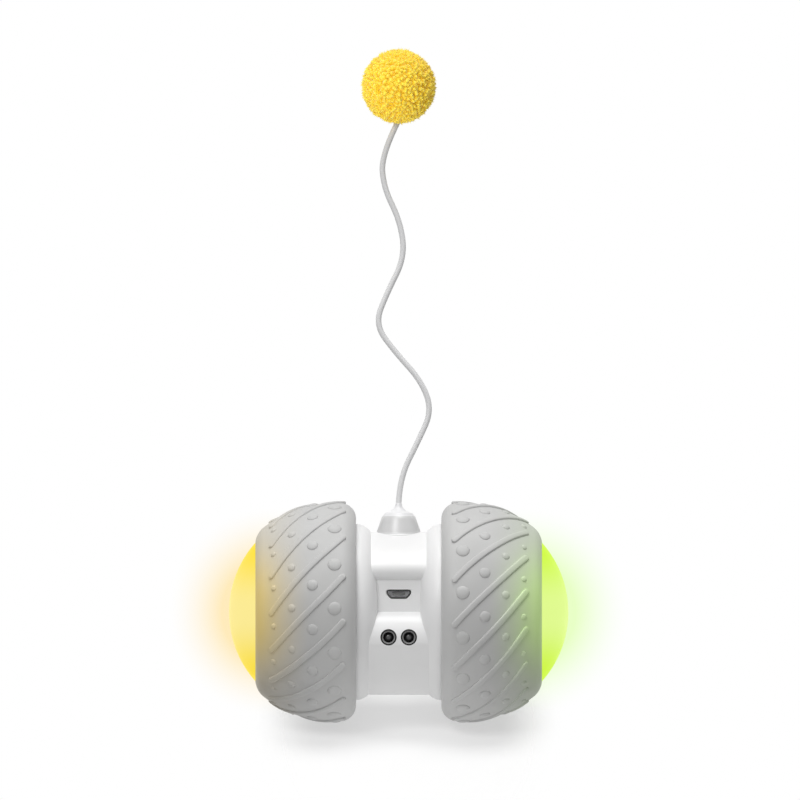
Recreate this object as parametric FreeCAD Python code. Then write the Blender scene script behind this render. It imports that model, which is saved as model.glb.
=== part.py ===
import FreeCAD, Part
import math
import os
from FreeCAD import Vector

os.makedirs("parts", exist_ok=True)

# A two-wheeled cat toy: a round housing hangs on one axle line between two big soft tyres, and a springy
# wand with a yarn pompom stands in the top of it. All sizes are in millimetres.
# X runs along the axle line, -Y is the front with the charging socket, and +Z is up. Every piece is drawn
# about the axle line and lifted at the end, so that the lowest raised dot of the tyres stands on z = 0.

# Tyre and its tread
tyre_inner_x = 13.65
tyre_outer_x = 45.9
crest_x = 20.5
crest_radius = 34.9
shoulder_round = 5.0
crown_round = 37.0
outer_round = 7.2
tyre_wall = 3.0
inner_lip_width = 2.95
inner_lip_radius = 28.7
outer_lip_depth = 3.5
mouth_radius = 22.4
tread_count = 15
rib_inner_x = 17.6
rib_outer_x = 41.2
rib_start_angle = 17.0
rib_sweep = 43.4
rib_height = 0.45
rib_foot_width = 2.05
rib_top_width = 1.05
rib_sink = 0.5
# Each column of raised dots: distance along the axle, angle above the front, diameter, height
dot_columns = (
    (20.5, 10.2, 4.6, 0.6), (27.6, 21.5, 3.8, 0.55), (34.3, 9.8, 2.8, 0.5), (40.1, 21.0, 2.1, 0.45))

# Hub, dome and axle
hub_wall = 1.8
hub_web_x = 19.2
hub_web = 2.0
hub_boss_radius = 4.0
hub_boss_end_x = 28.0
hub_windows = 5
hub_window_radius = 6.0
hub_window_place = 17.0
hub_boss_step = 0.6
dome_apex_x = 54.3
dome_wall = 1.5
dome_fit = 0.25
dome_skirt = 6.4
axle_radius = 1.5
running_fit = 0.05
axle_screw_head_radius = 2.5
axle_screw_head = 1.6
axle_screw_radius = 0.8
axle_screw_length = 6.0
axle_screw_slot = 0.6
axle_screw_slot_depth = 0.7

# Housing
shell_wall = 1.8
cheek_radius = 28.2
cheek_round_x = 6.8
cheek_round_r = 8.96
end_wall_x = 14.2
end_wall = 1.8
hood_radius = 25.6
belly_radius = 26.5
belly_top = -10.5
band_half = 10.0
lip_roll = 3.3
recess_face = 19.2
recess_top = 10.0
recess_floor = 0.1
ledge_bulge = 2.05
cheek_cavity_x = 8.4
cheek_cavity_start = 22.0
cheek_cavity_radius = 26.0
cheek_cavity_full_x = 12.0
seat_gap = 0.3

# Screws that close the housing
post_x = 11.7
upper_post_z = 20.3
lower_post_z = -17.5
post_radius = 2.3
shell_screw_radius = 0.9
shell_screw_head_radius = 1.7
shell_screw_head_fit = 0.15
shell_screw_head = 1.6
shell_screw_seat = 9.5
shell_screw_length = 15.0
shell_screw_slot = 0.5
shell_screw_slot_depth = 0.7

# Wand socket, wand and pompom
socket_top = 30.7
socket_top_radius = 5.4
socket_base_radius = 6.95
socket_base_z = 26.0
socket_neck_radius = 6.2
socket_flange_radius = 7.8
socket_flange = 1.8
socket_flare = 1.1
socket_rim_round = 0.3
socket_land_radius = 7.9
socket_land_top = 24.85
socket_land_round = 0.3
socket_bore_radius = 3.05
socket_bore_bottom = 22.4
spigot_radius = 3.0
trumpet_radius = 5.1
trumpet_top = 34.9
trumpet_shoulder = 0.7
trumpet_neck_radius = 1.28
trumpet_neck_rise = 2.9
spigot_tip = 0.4
cord_radius = 0.9
pompom_radius = 11.7
pompom_z = 168.2

# Drive: module and teeth of the gears, and where the motor shaft lies behind and below the axle
module = 0.5
pinion_teeth = 10
idler_teeth = 30
idler_pinion_teeth = 10
output_teeth = 38
backlash = 0.12
pressure_angle = math.radians(20)
addendum = 0.95
dedendum = 1.25
motor_y = 11.5
motor_z = -6.3
motor_width = 10.0
motor_length = 14.4
motor_side_radius = 6.0
motor_cap = 1.6
motor_cap_step = 0.3
motor_nose_radius = 1.6
motor_shaft_radius = 0.5
motor_screw_place = 2.4
motor_screw_radius = 0.6
motor_screw_head_radius = 0.95
motor_screw_head = 0.25
plate_x = 5.4
plate_thickness = 1.2
plate_half_width = 3.1
pin_radius = 0.75
pin_socket = 0.9
first_stage_x = 6.95
first_stage_width = 2.2
second_stage_x = 9.8
second_stage_width = 3.0
gear_end_gap = 0.2
gear_rim = 1.6
gear_groove = 0.8
bush_radius = 3.0
bush_flange_radius = 4.0
bush_flange = 0.8
bush_proud = 0.2

# Electronics
board_top = 4.35
board_thickness = 1.0
board_half_width = 8.0
board_front = 17.2
board_rear = 15.6
board_screw_x = 6.9
board_screw_inset = 2.2
board_screw_radius = 0.7
board_screw_head_radius = 1.3
board_screw_depth = 1.5
board_screw_head = 0.9
shelf_half_width = 1.4
shelf_bottom = 1.0
# Each chip: its range along X, its range along Y, its height
chips = (((-3.5, 3.5), (-4.5, 2.5), 1.0), ((-6.4, -4.4), (-1.0, 4.0), 1.4))
small_chip_size = (1.2, 2.0, 0.8)
small_chip_count = 4
small_chip_pitch = 2.2
small_chip_y = 5.2
usb_width = 7.65
usb_height = 2.7
usb_depth = 5.2
usb_wall = 0.4
usb_set_back = 0.3
usb_slant_x = 1.35
usb_slant_z = 1.4
usb_top_round = 0.5
usb_lower_round = 0.9
usb_fit = 0.15
usb_end_block = 2.0
tongue_width = 4.2
tongue_thickness = 0.8
tongue_rise = 0.15
tongue_set_back = 0.6
sensor_x = 3.25
sensor_z = -8.1
sensor_sleeve_radius = 2.55
sensor_front = 24.3
sensor_back = 17.8
sensor_body_radius = 1.5
sensor_body_length = 4.0
sensor_rim = 0.3
sensor_rim_length = 0.9
sensor_mouth_radius = 2.15
sensor_throat_radius = 1.7
sensor_mouth_depth = 0.5
sensor_throat_depth = 2.2
sensor_board_thickness = 0.8
sensor_board_half_width = 6.2
sensor_board_below = 2.6
sensor_board_above = 3.2
switch_half_width = 3.0
switch_length = 3.4
switch_height = 3.7
plunger_radius = 1.4
plunger_length = 0.9
button_z = 6.2
button_radius = 4.0
button_flange_radius = 5.0
button_proud = 0.8
button_travel = 0.6
button_round = 0.6
button_fit = 0.15
button_flange = 1.0
button_stem_radius = 1.6
button_stem_gap = 0.1
battery_half_width = 6.5
battery_half_length = 10.8
battery_height = 5.0
battery_round = 1.2
weight_top = -20.6
weight_clearance = 0.3
lamp_ring_outer = 15.5
lamp_ring_inner = 6.5
lamp_ring_thickness = 1.0
lamp_count = 4
lamp_place = 11.5
lamp_width = 2.8
lamp_length = 3.5
lamp_height = 1.2

# Long enough for any cut that goes right through
through = 40.0

X_AXIS = Vector(1, 0, 0)
Y_AXIS = Vector(0, 1, 0)
Z_AXIS = Vector(0, 0, 1)
ORIGIN = Vector(0, 0, 0)


def rod_x(radius, start, end, y=0.0, z=0.0):
    return Part.makeCylinder(radius, end - start, Vector(start, y, z), X_AXIS)


def rod_y(radius, start, end, x=0.0, z=0.0):
    return Part.makeCylinder(radius, end - start, Vector(x, start, z), Y_AXIS)


def rod_z(radius, start, end, x=0.0, y=0.0):
    return Part.makeCylinder(radius, end - start, Vector(x, y, start), Z_AXIS)


def block(x_range, y_range, z_range):
    size = [high - low for low, high in (x_range, y_range, z_range)]
    return Part.makeBox(size[0], size[1], size[2], Vector(x_range[0], y_range[0], z_range[0]))


def turned(shape):
    # The left-hand twin of a right-hand piece: the same piece turned half round about the vertical
    twin = shape.copy()
    twin.rotate(ORIGIN, Z_AXIS, 180)
    return twin


def around_axle(shape, count):
    copies = []
    for number in range(count):
        copy = shape.copy()
        copy.rotate(ORIGIN, X_AXIS, 360.0 * number / count)
        copies.append(copy)
    return copies


def lathe_x(edges):
    return Part.Face(Part.Wire(edges)).revolve(ORIGIN, X_AXIS, 360)


def lathe_z(edges):
    return Part.Face(Part.Wire(edges)).revolve(ORIGIN, Z_AXIS, 360)


def outline_xr(points):
    # A closed outline of straight lines in the plane of the axle, from (x, radius) pairs
    corners = [Vector(x, 0, radius) for x, radius in points]
    return [Part.makeLine(start, end) for start, end in zip(corners, corners[1:] + corners[:1])]


def arc_xr(centre_x, centre_r, radius, start, end):
    # An arc in the plane of the axle; its angles are measured from straight up towards +X
    def at(angle):
        return Vector(centre_x + radius * math.sin(angle), 0, centre_r + radius * math.cos(angle))
    return Part.Arc(at(start), at((start + end) / 2), at(end)).toShape()


def arc_yz(start, middle, end):
    return Part.Arc(Vector(0, *start), Vector(0, *middle), Vector(0, *end)).toShape()


def joined_lines(edges, corners):
    for start, end in zip(corners, corners[1:]):
        edges.append(Part.makeLine(start, end))


# The tyre's outline is a shoulder arc, a short flat crest, a long crown arc and a tighter outer arc that
# meets the crown without a corner. Its centres follow from the sizes above.
crown_centre_r = crest_radius - crown_round
crown_slope = (tyre_outer_x - outer_round - crest_x) / (crown_round - outer_round)
crown_angle = math.asin(crown_slope)
outer_centre_x = tyre_outer_x - outer_round
outer_centre_r = crown_centre_r + (crown_round - outer_round) * math.cos(crown_angle)
lip_end_angle = math.acos((mouth_radius - outer_centre_r) / outer_round)
lip_inner_x = tyre_outer_x - outer_lip_depth
lip_inner_angle = math.asin((lip_inner_x - outer_centre_x) / (outer_round - tyre_wall))
shoulder_centre_x = tyre_inner_x + shoulder_round
shoulder_centre_r = crest_radius - shoulder_round
inner_lip_x = tyre_inner_x + inner_lip_width

# The lowest dot of the biggest column touches the floor a few degrees in front of or behind the bottom
tread_pitch = 360.0 / tread_count
big_dot = dot_columns[0]
big_dot_curve = (big_dot[2] ** 2 / 4 + big_dot[3] ** 2) / (2 * big_dot[3])
off_bottom = (big_dot[1] + 90) % tread_pitch
off_bottom = math.radians(min(off_bottom, tread_pitch - off_bottom))
axle_height = (crest_radius + big_dot[3] - big_dot_curve) * math.cos(off_bottom) + big_dot_curve


def save(name, shape):
    lifted = shape.copy()
    lifted.translate(Vector(0, 0, axle_height))
    lifted.exportStep("parts/" + name + ".step")


def save_pair(name, shape):
    save(name + "_right", shape)
    save(name + "_left", turned(shape))


# Housing, moulded in a front and a rear half. Two round cheeks stand beside the tyres, and a band
# between them carries the hood, the recess for the charging socket, the ledge and the belly.
def cheek():
    ellipse = Part.Ellipse(
        Vector(tyre_inner_x, 0, cheek_radius),
        Vector(tyre_inner_x - cheek_round_x, 0, cheek_radius - cheek_round_r),
        Vector(tyre_inner_x, 0, cheek_radius - cheek_round_r))
    round_edge = Part.ArcOfEllipse(ellipse, 0, math.pi / 2).toShape()
    wall_x = tyre_inner_x - cheek_round_x
    end_x = end_wall_x + end_wall
    corners = [
        Vector(wall_x, 0, cheek_radius - cheek_round_r), Vector(wall_x, 0, 0), Vector(end_x, 0, 0),
        Vector(end_x, 0, cheek_radius), Vector(tyre_inner_x, 0, cheek_radius)]
    edges = [round_edge]
    joined_lines(edges, corners)
    return lathe_x(Part.__sortEdges__(edges))


def on_circle(radius, z):
    return math.sqrt(radius ** 2 - z ** 2)


def band_face():
    roll_z = recess_top + lip_roll
    roll_y = on_circle(hood_radius - lip_roll, roll_z)
    roll_angle = math.atan2(roll_z, roll_y)
    lip_start = (-hood_radius * math.cos(roll_angle), hood_radius * math.sin(roll_angle))
    lip_end = (-recess_face, roll_z - on_circle(lip_roll, recess_face - roll_y))
    end_angle = math.atan2(lip_end[1] - roll_z, recess_face - roll_y)
    middle_angle = (roll_angle + end_angle) / 2
    lip_middle = (-roll_y - lip_roll * math.cos(middle_angle), roll_z + lip_roll * math.sin(middle_angle))
    ledge_start = (-recess_face, recess_floor)
    ledge_end = (-on_circle(belly_radius, belly_top), belly_top)
    across = (ledge_end[0] - ledge_start[0], ledge_end[1] - ledge_start[1])
    span = math.hypot(*across)
    ledge_middle = (
        (ledge_start[0] + ledge_end[0]) / 2 + ledge_bulge * across[1] / span,
        (ledge_start[1] + ledge_end[1]) / 2 - ledge_bulge * across[0] / span)
    belly_end = (-ledge_end[0], belly_top)
    hood_start = (on_circle(hood_radius, belly_top), belly_top)
    edges = [
        arc_yz(hood_start, (0, hood_radius), lip_start),
        arc_yz(lip_start, lip_middle, lip_end),
        Part.makeLine(Vector(0, *lip_end), Vector(0, *ledge_start)),
        arc_yz(ledge_start, ledge_middle, ledge_end),
        arc_yz(ledge_end, (0, -belly_radius), belly_end),
        Part.makeLine(Vector(0, *belly_end), Vector(0, *hood_start))]
    return Part.Face(Part.Wire(edges))


def slab(face, half_width):
    shape = face.extrude(Vector(2 * half_width, 0, 0))
    shape.translate(Vector(-half_width, 0, 0))
    return shape


def cheek_cavity():
    return lathe_x(outline_xr([
        (cheek_cavity_x, 0), (cheek_cavity_x, cheek_cavity_start), (cheek_cavity_full_x, cheek_cavity_radius),
        (end_wall_x, cheek_cavity_radius), (end_wall_x, 0)]))


gear_c1 = module * (pinion_teeth + idler_teeth) / 2
gear_c2 = module * (idler_pinion_teeth + output_teeth) / 2
motor_distance = math.hypot(motor_y, motor_z)
idler_turn = math.acos((gear_c2 ** 2 + motor_distance ** 2 - gear_c1 ** 2) / (2 * gear_c2 * motor_distance))
idler_angle = math.atan2(motor_z, motor_y) - idler_turn
idler_y = gear_c2 * math.cos(idler_angle)
idler_z = gear_c2 * math.sin(idler_angle)

usb_z = board_top + usb_height / 2
board_bottom = board_top - board_thickness
board_screw_y = board_screw_inset - board_front
shelf_end_y = board_screw_y + shelf_half_width


def usb_solid(grow, front, back):
    # The charging socket's outline: wide at the top, slanted in at the bottom, with every corner round.
    # The slants shrink and grow a little less than the sides, so that they keep the wall's thickness.
    half = usb_width / 2 + grow
    bottom = board_top - grow
    top = board_top + usb_height + grow
    slant_x = usb_slant_x + 0.6 * grow
    slant_z = usb_slant_z + 0.6 * grow
    outline = [
        (-half, top), (half, top), (half, bottom + slant_z), (half - slant_x, bottom),
        (slant_x - half, bottom), (-half, bottom + slant_z)]
    corners = [Vector(x, -front, z) for x, z in outline]
    solid = Part.Face(Part.makePolygon(corners + corners[:1])).extrude(Vector(0, front - back, 0))
    lower = [edge for edge in edges_along_y(solid) if edge.BoundBox.ZMax < usb_z]
    solid = solid.makeFillet(usb_lower_round + grow, lower)
    upper = [edge for edge in edges_along_y(solid) if edge.BoundBox.ZMin > top - usb_fit]
    return solid.makeFillet(usb_top_round + grow, upper)


def edges_along_y(solid):
    return [edge for edge in solid.Edges if abs(edge.tangentAt(edge.FirstParameter).y) > 0.9]


def socket_land():
    # A flat round land in the top of the hood, on which the wand socket's cone stands
    land = rod_z(socket_land_radius, socket_bore_bottom, socket_land_top)
    rim = [edge for edge in land.Edges if edge.BoundBox.ZMin > socket_land_top - 0.1]
    return land.makeFillet(socket_land_round, rim)


def screw_posts():
    # Posts that the closing screws bite in, and their holes with the counterbores behind them
    posts = []
    holes = []
    seat = shell_screw_seat
    counterbore_radius = shell_screw_head_radius + shell_screw_head_fit
    for x in (-post_x, post_x):
        for z in (upper_post_z, lower_post_z):
            posts.append(rod_y(post_radius, -cheek_radius, cheek_radius, x, z))
            holes.append(rod_y(shell_screw_radius, seat - shell_screw_length, seat, x, z))
            holes.append(rod_y(counterbore_radius, seat, cheek_radius, x, z))
    return posts, holes


def board_shelves():
    # Two shelves behind the recess carry the board; each takes one screw
    shelves = []
    holes = []
    shelf_start_y = -recess_face + shell_wall / 2
    screw_end = board_bottom - board_screw_depth
    for x in (-board_screw_x, board_screw_x):
        width = (x - shelf_half_width, x + shelf_half_width)
        shelves.append(block(width, (shelf_start_y, shelf_end_y), (shelf_bottom, board_bottom)))
        holes.append(rod_z(board_screw_radius, screw_end, board_bottom, x, board_screw_y))
    return shelves, holes


def housing():
    outer = cheek().fuse([turned(cheek()), slab(band_face(), band_half), socket_land()])
    inner = slab(band_face().makeOffset2D(-shell_wall), cheek_cavity_x)
    hollow = inner.fuse([cheek_cavity(), turned(cheek_cavity())])
    posts, holes = screw_posts()
    shelves, shelf_holes = board_shelves()
    body = outer.cut(hollow).fuse([post.common(outer) for post in posts + shelves])
    holes += shelf_holes
    holes.append(rod_x(bush_radius, -through, through))
    pin_hole = rod_x(pin_radius, 0, end_wall_x + pin_socket + 0.1, idler_y, idler_z)
    holes += [pin_hole, turned(pin_hole)]
    holes.append(usb_solid(usb_fit, recess_face + 1, recess_face - shell_wall - 1))
    for x in (-sensor_x, sensor_x):
        holes.append(rod_y(sensor_sleeve_radius + running_fit, -through, -sensor_back, x, sensor_z))
    holes.append(rod_y(button_radius + button_fit, 0, through, 0, button_z))
    holes.append(rod_z(socket_neck_radius, 0, through))
    return body.cut(holes)


whole_housing = housing()
half_space = block((-through, through), (0, through), (-through, through))
save("rear_shell", whole_housing.common(half_space))
save("front_shell", whole_housing.cut(half_space))


# Four steel screws go in from the rear, each sunk in a counterbore
def shell_screw(x, z):
    head = rod_y(shell_screw_head_radius, shell_screw_seat, shell_screw_seat + shell_screw_head, x, z)
    shank = rod_y(shell_screw_radius, shell_screw_seat - shell_screw_length, shell_screw_seat, x, z)
    end = shell_screw_seat + shell_screw_head
    half = shell_screw_slot / 2
    reach = 0.7 * shell_screw_head_radius
    slot = block((x - reach, x + reach), (end - shell_screw_slot_depth, end + 1), (z - half, z + half))
    return head.fuse(shank).cut(slot)


save("shell_screws", Part.makeCompound([
    shell_screw(x, z) for x in (-post_x, post_x) for z in (upper_post_z, lower_post_z)]))


# Wand socket: a pale cone held between the two halves by its neck and its flange
def wand_socket():
    def at(radius, z):
        return Vector(radius, 0, z)
    foot_radius = socket_base_radius + socket_flare
    foot_z = socket_base_z - 1.5 * socket_flare
    base = at(socket_base_radius, socket_base_z)
    foot = at(foot_radius, foot_z)
    bow = at(socket_base_radius + 0.23 * socket_flare, (socket_base_z + foot_z) / 2)
    edges = [Part.Arc(base, bow, foot).toShape()]
    joined_lines(edges, [
        foot, at(0, foot_z), at(0, socket_top), at(socket_top_radius - socket_rim_round, socket_top),
        at(socket_top_radius, socket_top - socket_rim_round), base])
    seat = rod_x(hood_radius, -through, through).fuse(rod_z(2 * socket_land_radius, 0, socket_land_top))
    cone = lathe_z(Part.__sortEdges__(edges)).cut(seat)
    flange_top = on_circle(hood_radius - shell_wall, socket_flange_radius) - seat_gap
    neck = rod_z(socket_neck_radius, flange_top - socket_flange, socket_base_z)
    flange = rod_z(socket_flange_radius, flange_top - socket_flange, flange_top)
    bore = rod_z(socket_bore_radius, socket_bore_bottom, through)
    return cone.fuse([neck, flange]).cut(bore)


save("wand_socket", wand_socket())


# Wand plug: a white trumpet that seats on the socket, with a spigot down its bore
def wand_plug():
    def at(radius, z):
        return Vector(radius, 0, z)
    shoulder = at(trumpet_radius - trumpet_shoulder, socket_top + 1.0)
    neck = at(trumpet_neck_radius, socket_top + trumpet_neck_rise)
    waist = shoulder * 0.31 + neck * 0.69 - at(0, 0.45)
    edges = [Part.Arc(shoulder, waist, neck).toShape()]
    spigot_end = socket_bore_bottom + spigot_tip
    joined_lines(edges, [
        neck, at(cord_radius, trumpet_top), at(0, trumpet_top), at(0, spigot_end),
        at(spigot_radius - spigot_tip, spigot_end), at(spigot_radius, spigot_end + spigot_tip),
        at(spigot_radius, socket_top), at(trumpet_radius, socket_top), shoulder])
    return lathe_z(Part.__sortEdges__(edges))


save("wand_plug", wand_plug())

# Wand cord: a springy cord that weaves up from the plug to the pompom. The route is given as (x, z)
# corners; the cord runs straight between them and turns each corner in a round bend.
cord_route = (
    (0.0, trumpet_top), (0.0, 43.0), (5.8, 54.5), (10.3, 64.5), (6.8, 74.0), (-1.1, 83.0), (-7.5, 92.0),
    (-4.0, 102.0), (1.7, 113.5), (0.3, 125.0), (-4.9, 136.0), (-5.5, 146.5), (-0.5, 157.6))
bend_share = 0.45


def wand_cord():
    corners = [Vector(x, 0, z) for x, z in cord_route]
    edges = []
    here = corners[0]
    for before, corner, after in zip(corners, corners[1:], corners[2:]):
        towards = (corner - before).normalize()
        away = (after - corner).normalize()
        reach = bend_share * min((corner - before).Length, (after - corner).Length)
        turn = towards.getAngle(away)
        bend = reach / math.tan(turn / 2)
        inward = (away - towards).normalize()
        start = corner - towards * reach
        end = corner + away * reach
        middle = corner + inward * (bend / math.cos(turn / 2) - bend)
        edges.append(Part.makeLine(here, start))
        edges.append(Part.Arc(start, middle, end).toShape())
        here = end
    edges.append(Part.makeLine(here, corners[-1]))
    route = Part.Wire(edges)
    section = Part.Wire(Part.makeCircle(cord_radius, corners[0], corners[1] - corners[0]))
    return route.makePipeShell([section], True, False)


save("wand_cord", wand_cord())


# Pompom of yarn, drawn as a plain ball with a small flat where the cord's end meets it
def pompom():
    end = Vector(cord_route[-1][0], 0, cord_route[-1][1])
    before = Vector(cord_route[-2][0], 0, cord_route[-2][1])
    seat = Part.makeCylinder(cord_radius + 0.5, pompom_radius, end, before - end)
    return Part.makeSphere(pompom_radius, Vector(0, 0, pompom_z)).cut(seat)


save("pompom", pompom())


# Battery cell and the steel weight under it, which keeps the wand upright
weight_floor = weight_top + battery_height
battery = block(
    (-battery_half_width, battery_half_width), (-battery_half_length, battery_half_length),
    (weight_top, weight_floor))
save("battery_cell", battery.makeFillet(battery_round, edges_along_y(battery)))


def balance_weight():
    narrow = cheek_cavity_start - weight_clearance
    wide = cheek_cavity_radius - weight_clearance
    centre = belly_radius - shell_wall - weight_clearance
    step = cheek_cavity_x - weight_clearance
    full = cheek_cavity_full_x
    end = end_wall_x - weight_clearance
    profile = [
        (-end, 0), (-end, wide), (-full, wide), (-step - 0.6, narrow), (-step, narrow), (-step, centre)]
    outline = profile + [(-x, radius) for x, radius in reversed(profile)]
    disc = lathe_x(outline_xr(outline))
    return disc.common(block((-through, through), (-through, through), (-through, weight_top)))


save("balance_weight", balance_weight())


# Main board, level above the axle line, with its chips and the two screws that hold it to the front half
board = block((-board_half_width, board_half_width), (-board_front, board_rear), (board_bottom, board_top))
for x in (-board_screw_x, board_screw_x):
    board = board.cut(rod_z(board_screw_radius + 2 * running_fit, 0, through, x, board_screw_y))
save("main_board", board)


def board_chips():
    bodies = [block(x_range, y_range, (board_top, board_top + height)) for x_range, y_range, height in chips]
    width, length, height = small_chip_size
    for number in range(small_chip_count):
        start = small_chip_pitch * (number - (small_chip_count - 1) / 2) - width / 2
        bodies.append(block(
            (start, start + width), (small_chip_y, small_chip_y + length), (board_top, board_top + height)))
    return Part.makeCompound(bodies)


save("board_chips", board_chips())


def board_screw(x):
    head = rod_z(board_screw_head_radius, board_top, board_top + board_screw_head, x, board_screw_y)
    return head.fuse(rod_z(board_screw_radius, board_bottom - board_screw_depth, board_top, x, board_screw_y))


save("board_screws", Part.makeCompound([board_screw(-board_screw_x), board_screw(board_screw_x)]))

# Charging socket: a folded metal shell with a tongue inside, standing on the front edge of the board
usb_front = recess_face - usb_set_back
usb_back = usb_front - usb_depth
usb_mouth = usb_solid(-usb_wall, usb_front + 1, usb_back + usb_end_block)
save("usb_port_shell", usb_solid(0, usb_front, usb_back).cut(usb_mouth))
tongue_middle = usb_z + tongue_rise
save("usb_port_tongue", block(
    (-tongue_width / 2, tongue_width / 2), (-usb_front + tongue_set_back, -usb_back - usb_end_block),
    (tongue_middle - tongue_thickness / 2, tongue_middle + tongue_thickness / 2)))


# Infrared emitter and receiver behind two windows in the ledge, each in a black sleeve
def sensor_body(x):
    radius = sensor_body_radius
    nose_centre = -sensor_back - sensor_body_length
    barrel = rod_y(radius, nose_centre, -sensor_back, x, sensor_z)
    nose = Part.makeSphere(radius, Vector(x, nose_centre, sensor_z))
    rim = rod_y(radius + sensor_rim, -sensor_back - sensor_rim_length, -sensor_back, x, sensor_z)
    return barrel.fuse([nose, rim])


def sensor_sleeve(x):
    # A bevelled mouth, a short wide throat and a bore that fits the sensor's body
    sleeve_back = -sensor_back - sensor_rim_length - seat_gap
    tube = rod_y(sensor_sleeve_radius, -sensor_front, sleeve_back, x, sensor_z)
    front = Vector(x, -sensor_front, sensor_z)
    mouth = Part.makeCone(sensor_mouth_radius, sensor_throat_radius, sensor_mouth_depth, front, Y_AXIS)
    throat = rod_y(sensor_throat_radius, -sensor_front, -sensor_front + sensor_throat_depth, x, sensor_z)
    return tube.cut([mouth, throat, rod_y(sensor_body_radius, -through, -sensor_back, x, sensor_z)])


save("infrared_emitter", sensor_body(-sensor_x))
save("infrared_receiver", sensor_body(sensor_x))
save("sensor_sleeves", Part.makeCompound([sensor_sleeve(-sensor_x), sensor_sleeve(sensor_x)]))
save("sensor_board", block(
    (-sensor_board_half_width, sensor_board_half_width),
    (-sensor_back, -sensor_back + sensor_board_thickness),
    (sensor_z - sensor_board_below, sensor_z + sensor_board_above)))

# Push switch at the rear edge of the board, and the power button that slides in the rear half
plunger_end = board_rear + plunger_length
switch_body = block(
    (-switch_half_width, switch_half_width), (board_rear - switch_length, board_rear),
    (board_top, board_top + switch_height))
save("power_switch", switch_body.fuse(rod_y(plunger_radius, board_rear, plunger_end, 0, button_z)))


def power_button():
    outer_end = on_circle(hood_radius, button_z) + button_proud
    flange_end = on_circle(hood_radius - shell_wall, button_z + button_flange_radius) - seat_gap
    cap = rod_y(button_radius, flange_end - button_flange, outer_end, 0, button_z)
    cap = cap.makeFillet(button_round, [edge for edge in cap.Edges if edge.BoundBox.YMin > outer_end - 0.1])
    flange = rod_y(button_flange_radius, flange_end - button_flange, flange_end, 0, button_z)
    stem = rod_y(button_stem_radius, plunger_end + button_travel + button_stem_gap, flange_end, 0, button_z)
    return cap.fuse([flange, stem])


save("power_button", power_button())


# Gears have involute flanks, drawn as arcs through the foot, the middle and the tip of each flank
def involute(angle):
    return math.tan(angle) - angle


def gear_face(teeth, turn, y, z):
    pitch_radius = module * teeth / 2
    base_radius = pitch_radius * math.cos(pressure_angle)
    tip_radius = pitch_radius + module * addendum
    root_radius = pitch_radius - module * dedendum
    flank_radius = max(root_radius, base_radius)
    middle_radius = (flank_radius + tip_radius) / 2
    half_tooth = math.pi / 2 / teeth - backlash / 2 / pitch_radius + involute(pressure_angle)

    def at(radius, middle, side):
        angle = half_tooth - involute(math.acos(base_radius / max(radius, flank_radius)))
        angle = middle + side * angle
        return Vector(0, y + radius * math.cos(angle), z + radius * math.sin(angle))

    edges = []
    foot = None
    first = at(root_radius, turn, -1)
    for number in range(teeth):
        middle = turn + 2 * math.pi * number / teeth
        near = [at(radius, middle, -1) for radius in (root_radius, flank_radius, middle_radius, tip_radius)]
        far = [at(radius, middle, 1) for radius in (tip_radius, middle_radius, flank_radius, root_radius)]
        if foot is not None:
            edges.append(Part.makeLine(foot, near[0]))
        if flank_radius > root_radius:
            edges.append(Part.makeLine(near[0], near[1]))
        edges.append(Part.Arc(near[1], near[2], near[3]).toShape())
        edges.append(Part.makeLine(near[3], far[0]))
        edges.append(Part.Arc(far[0], far[1], far[2]).toShape())
        if flank_radius > root_radius:
            edges.append(Part.makeLine(far[2], far[3]))
        foot = far[3]
    edges.append(Part.makeLine(foot, first))
    return Part.Face(Part.Wire(edges))


def gear(teeth, turn, start, width, y=0.0, z=0.0):
    solid = gear_face(teeth, turn, y, z).extrude(Vector(width, 0, 0))
    solid.translate(Vector(start, 0, 0))
    return solid


# Each pair meshes with a tooth of one gear in the gap of the other, on the line between their centres
towards_idler = idler_angle
towards_motor = math.atan2(motor_z - idler_z, motor_y - idler_y)
output_turn = towards_idler
idler_pinion_turn = towards_idler + math.pi + math.pi / idler_pinion_teeth
idler_wheel_turn = towards_motor
pinion_turn = towards_motor + math.pi + math.pi / pinion_teeth


# Compound middle gear, turning on a fixed steel pin: the motor pinion drives its wheel and its own
# small pinion drives the output gear on the axle
def idler_gear():
    wheel = gear(idler_teeth, idler_wheel_turn, first_stage_x, first_stage_width, idler_y, idler_z)
    small = gear(idler_pinion_teeth, idler_pinion_turn, second_stage_x, second_stage_width, idler_y, idler_z)
    root_radius = module * (idler_pinion_teeth / 2 - dedendum)
    neck_end = second_stage_x + second_stage_width + gear_end_gap
    neck = rod_x(root_radius, first_stage_x - gear_end_gap, neck_end, idler_y, idler_z)
    wheel_end = first_stage_x + first_stage_width
    groove = rod_x(module * idler_teeth / 2 - gear_rim, wheel_end - gear_groove, wheel_end, idler_y, idler_z)
    groove = groove.cut(rod_x(module * idler_pinion_teeth / 2, 0, through, idler_y, idler_z))
    bore = rod_x(pin_radius + running_fit, 0, through, idler_y, idler_z)
    return wheel.cut(groove).fuse([neck, small]).cut(bore)


save_pair("idler_gear", idler_gear())


# Small direct-current motor: a can with two flat sides, an end cap, a shaft and a pinion
def motor_can():
    can = rod_x(motor_side_radius, plate_x - motor_length + motor_cap, plate_x, motor_y, motor_z)
    return can.common(motor_flats(motor_width / 2))


def motor_end_cap():
    start = plate_x - motor_length
    cap = rod_x(motor_side_radius - motor_cap_step, start, start + motor_cap, motor_y, motor_z)
    return cap.common(motor_flats(motor_width / 2 - motor_cap_step))


def motor_flats(half_width):
    return block((-through, through), (motor_y - half_width, motor_y + half_width), (-through, through))


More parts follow.
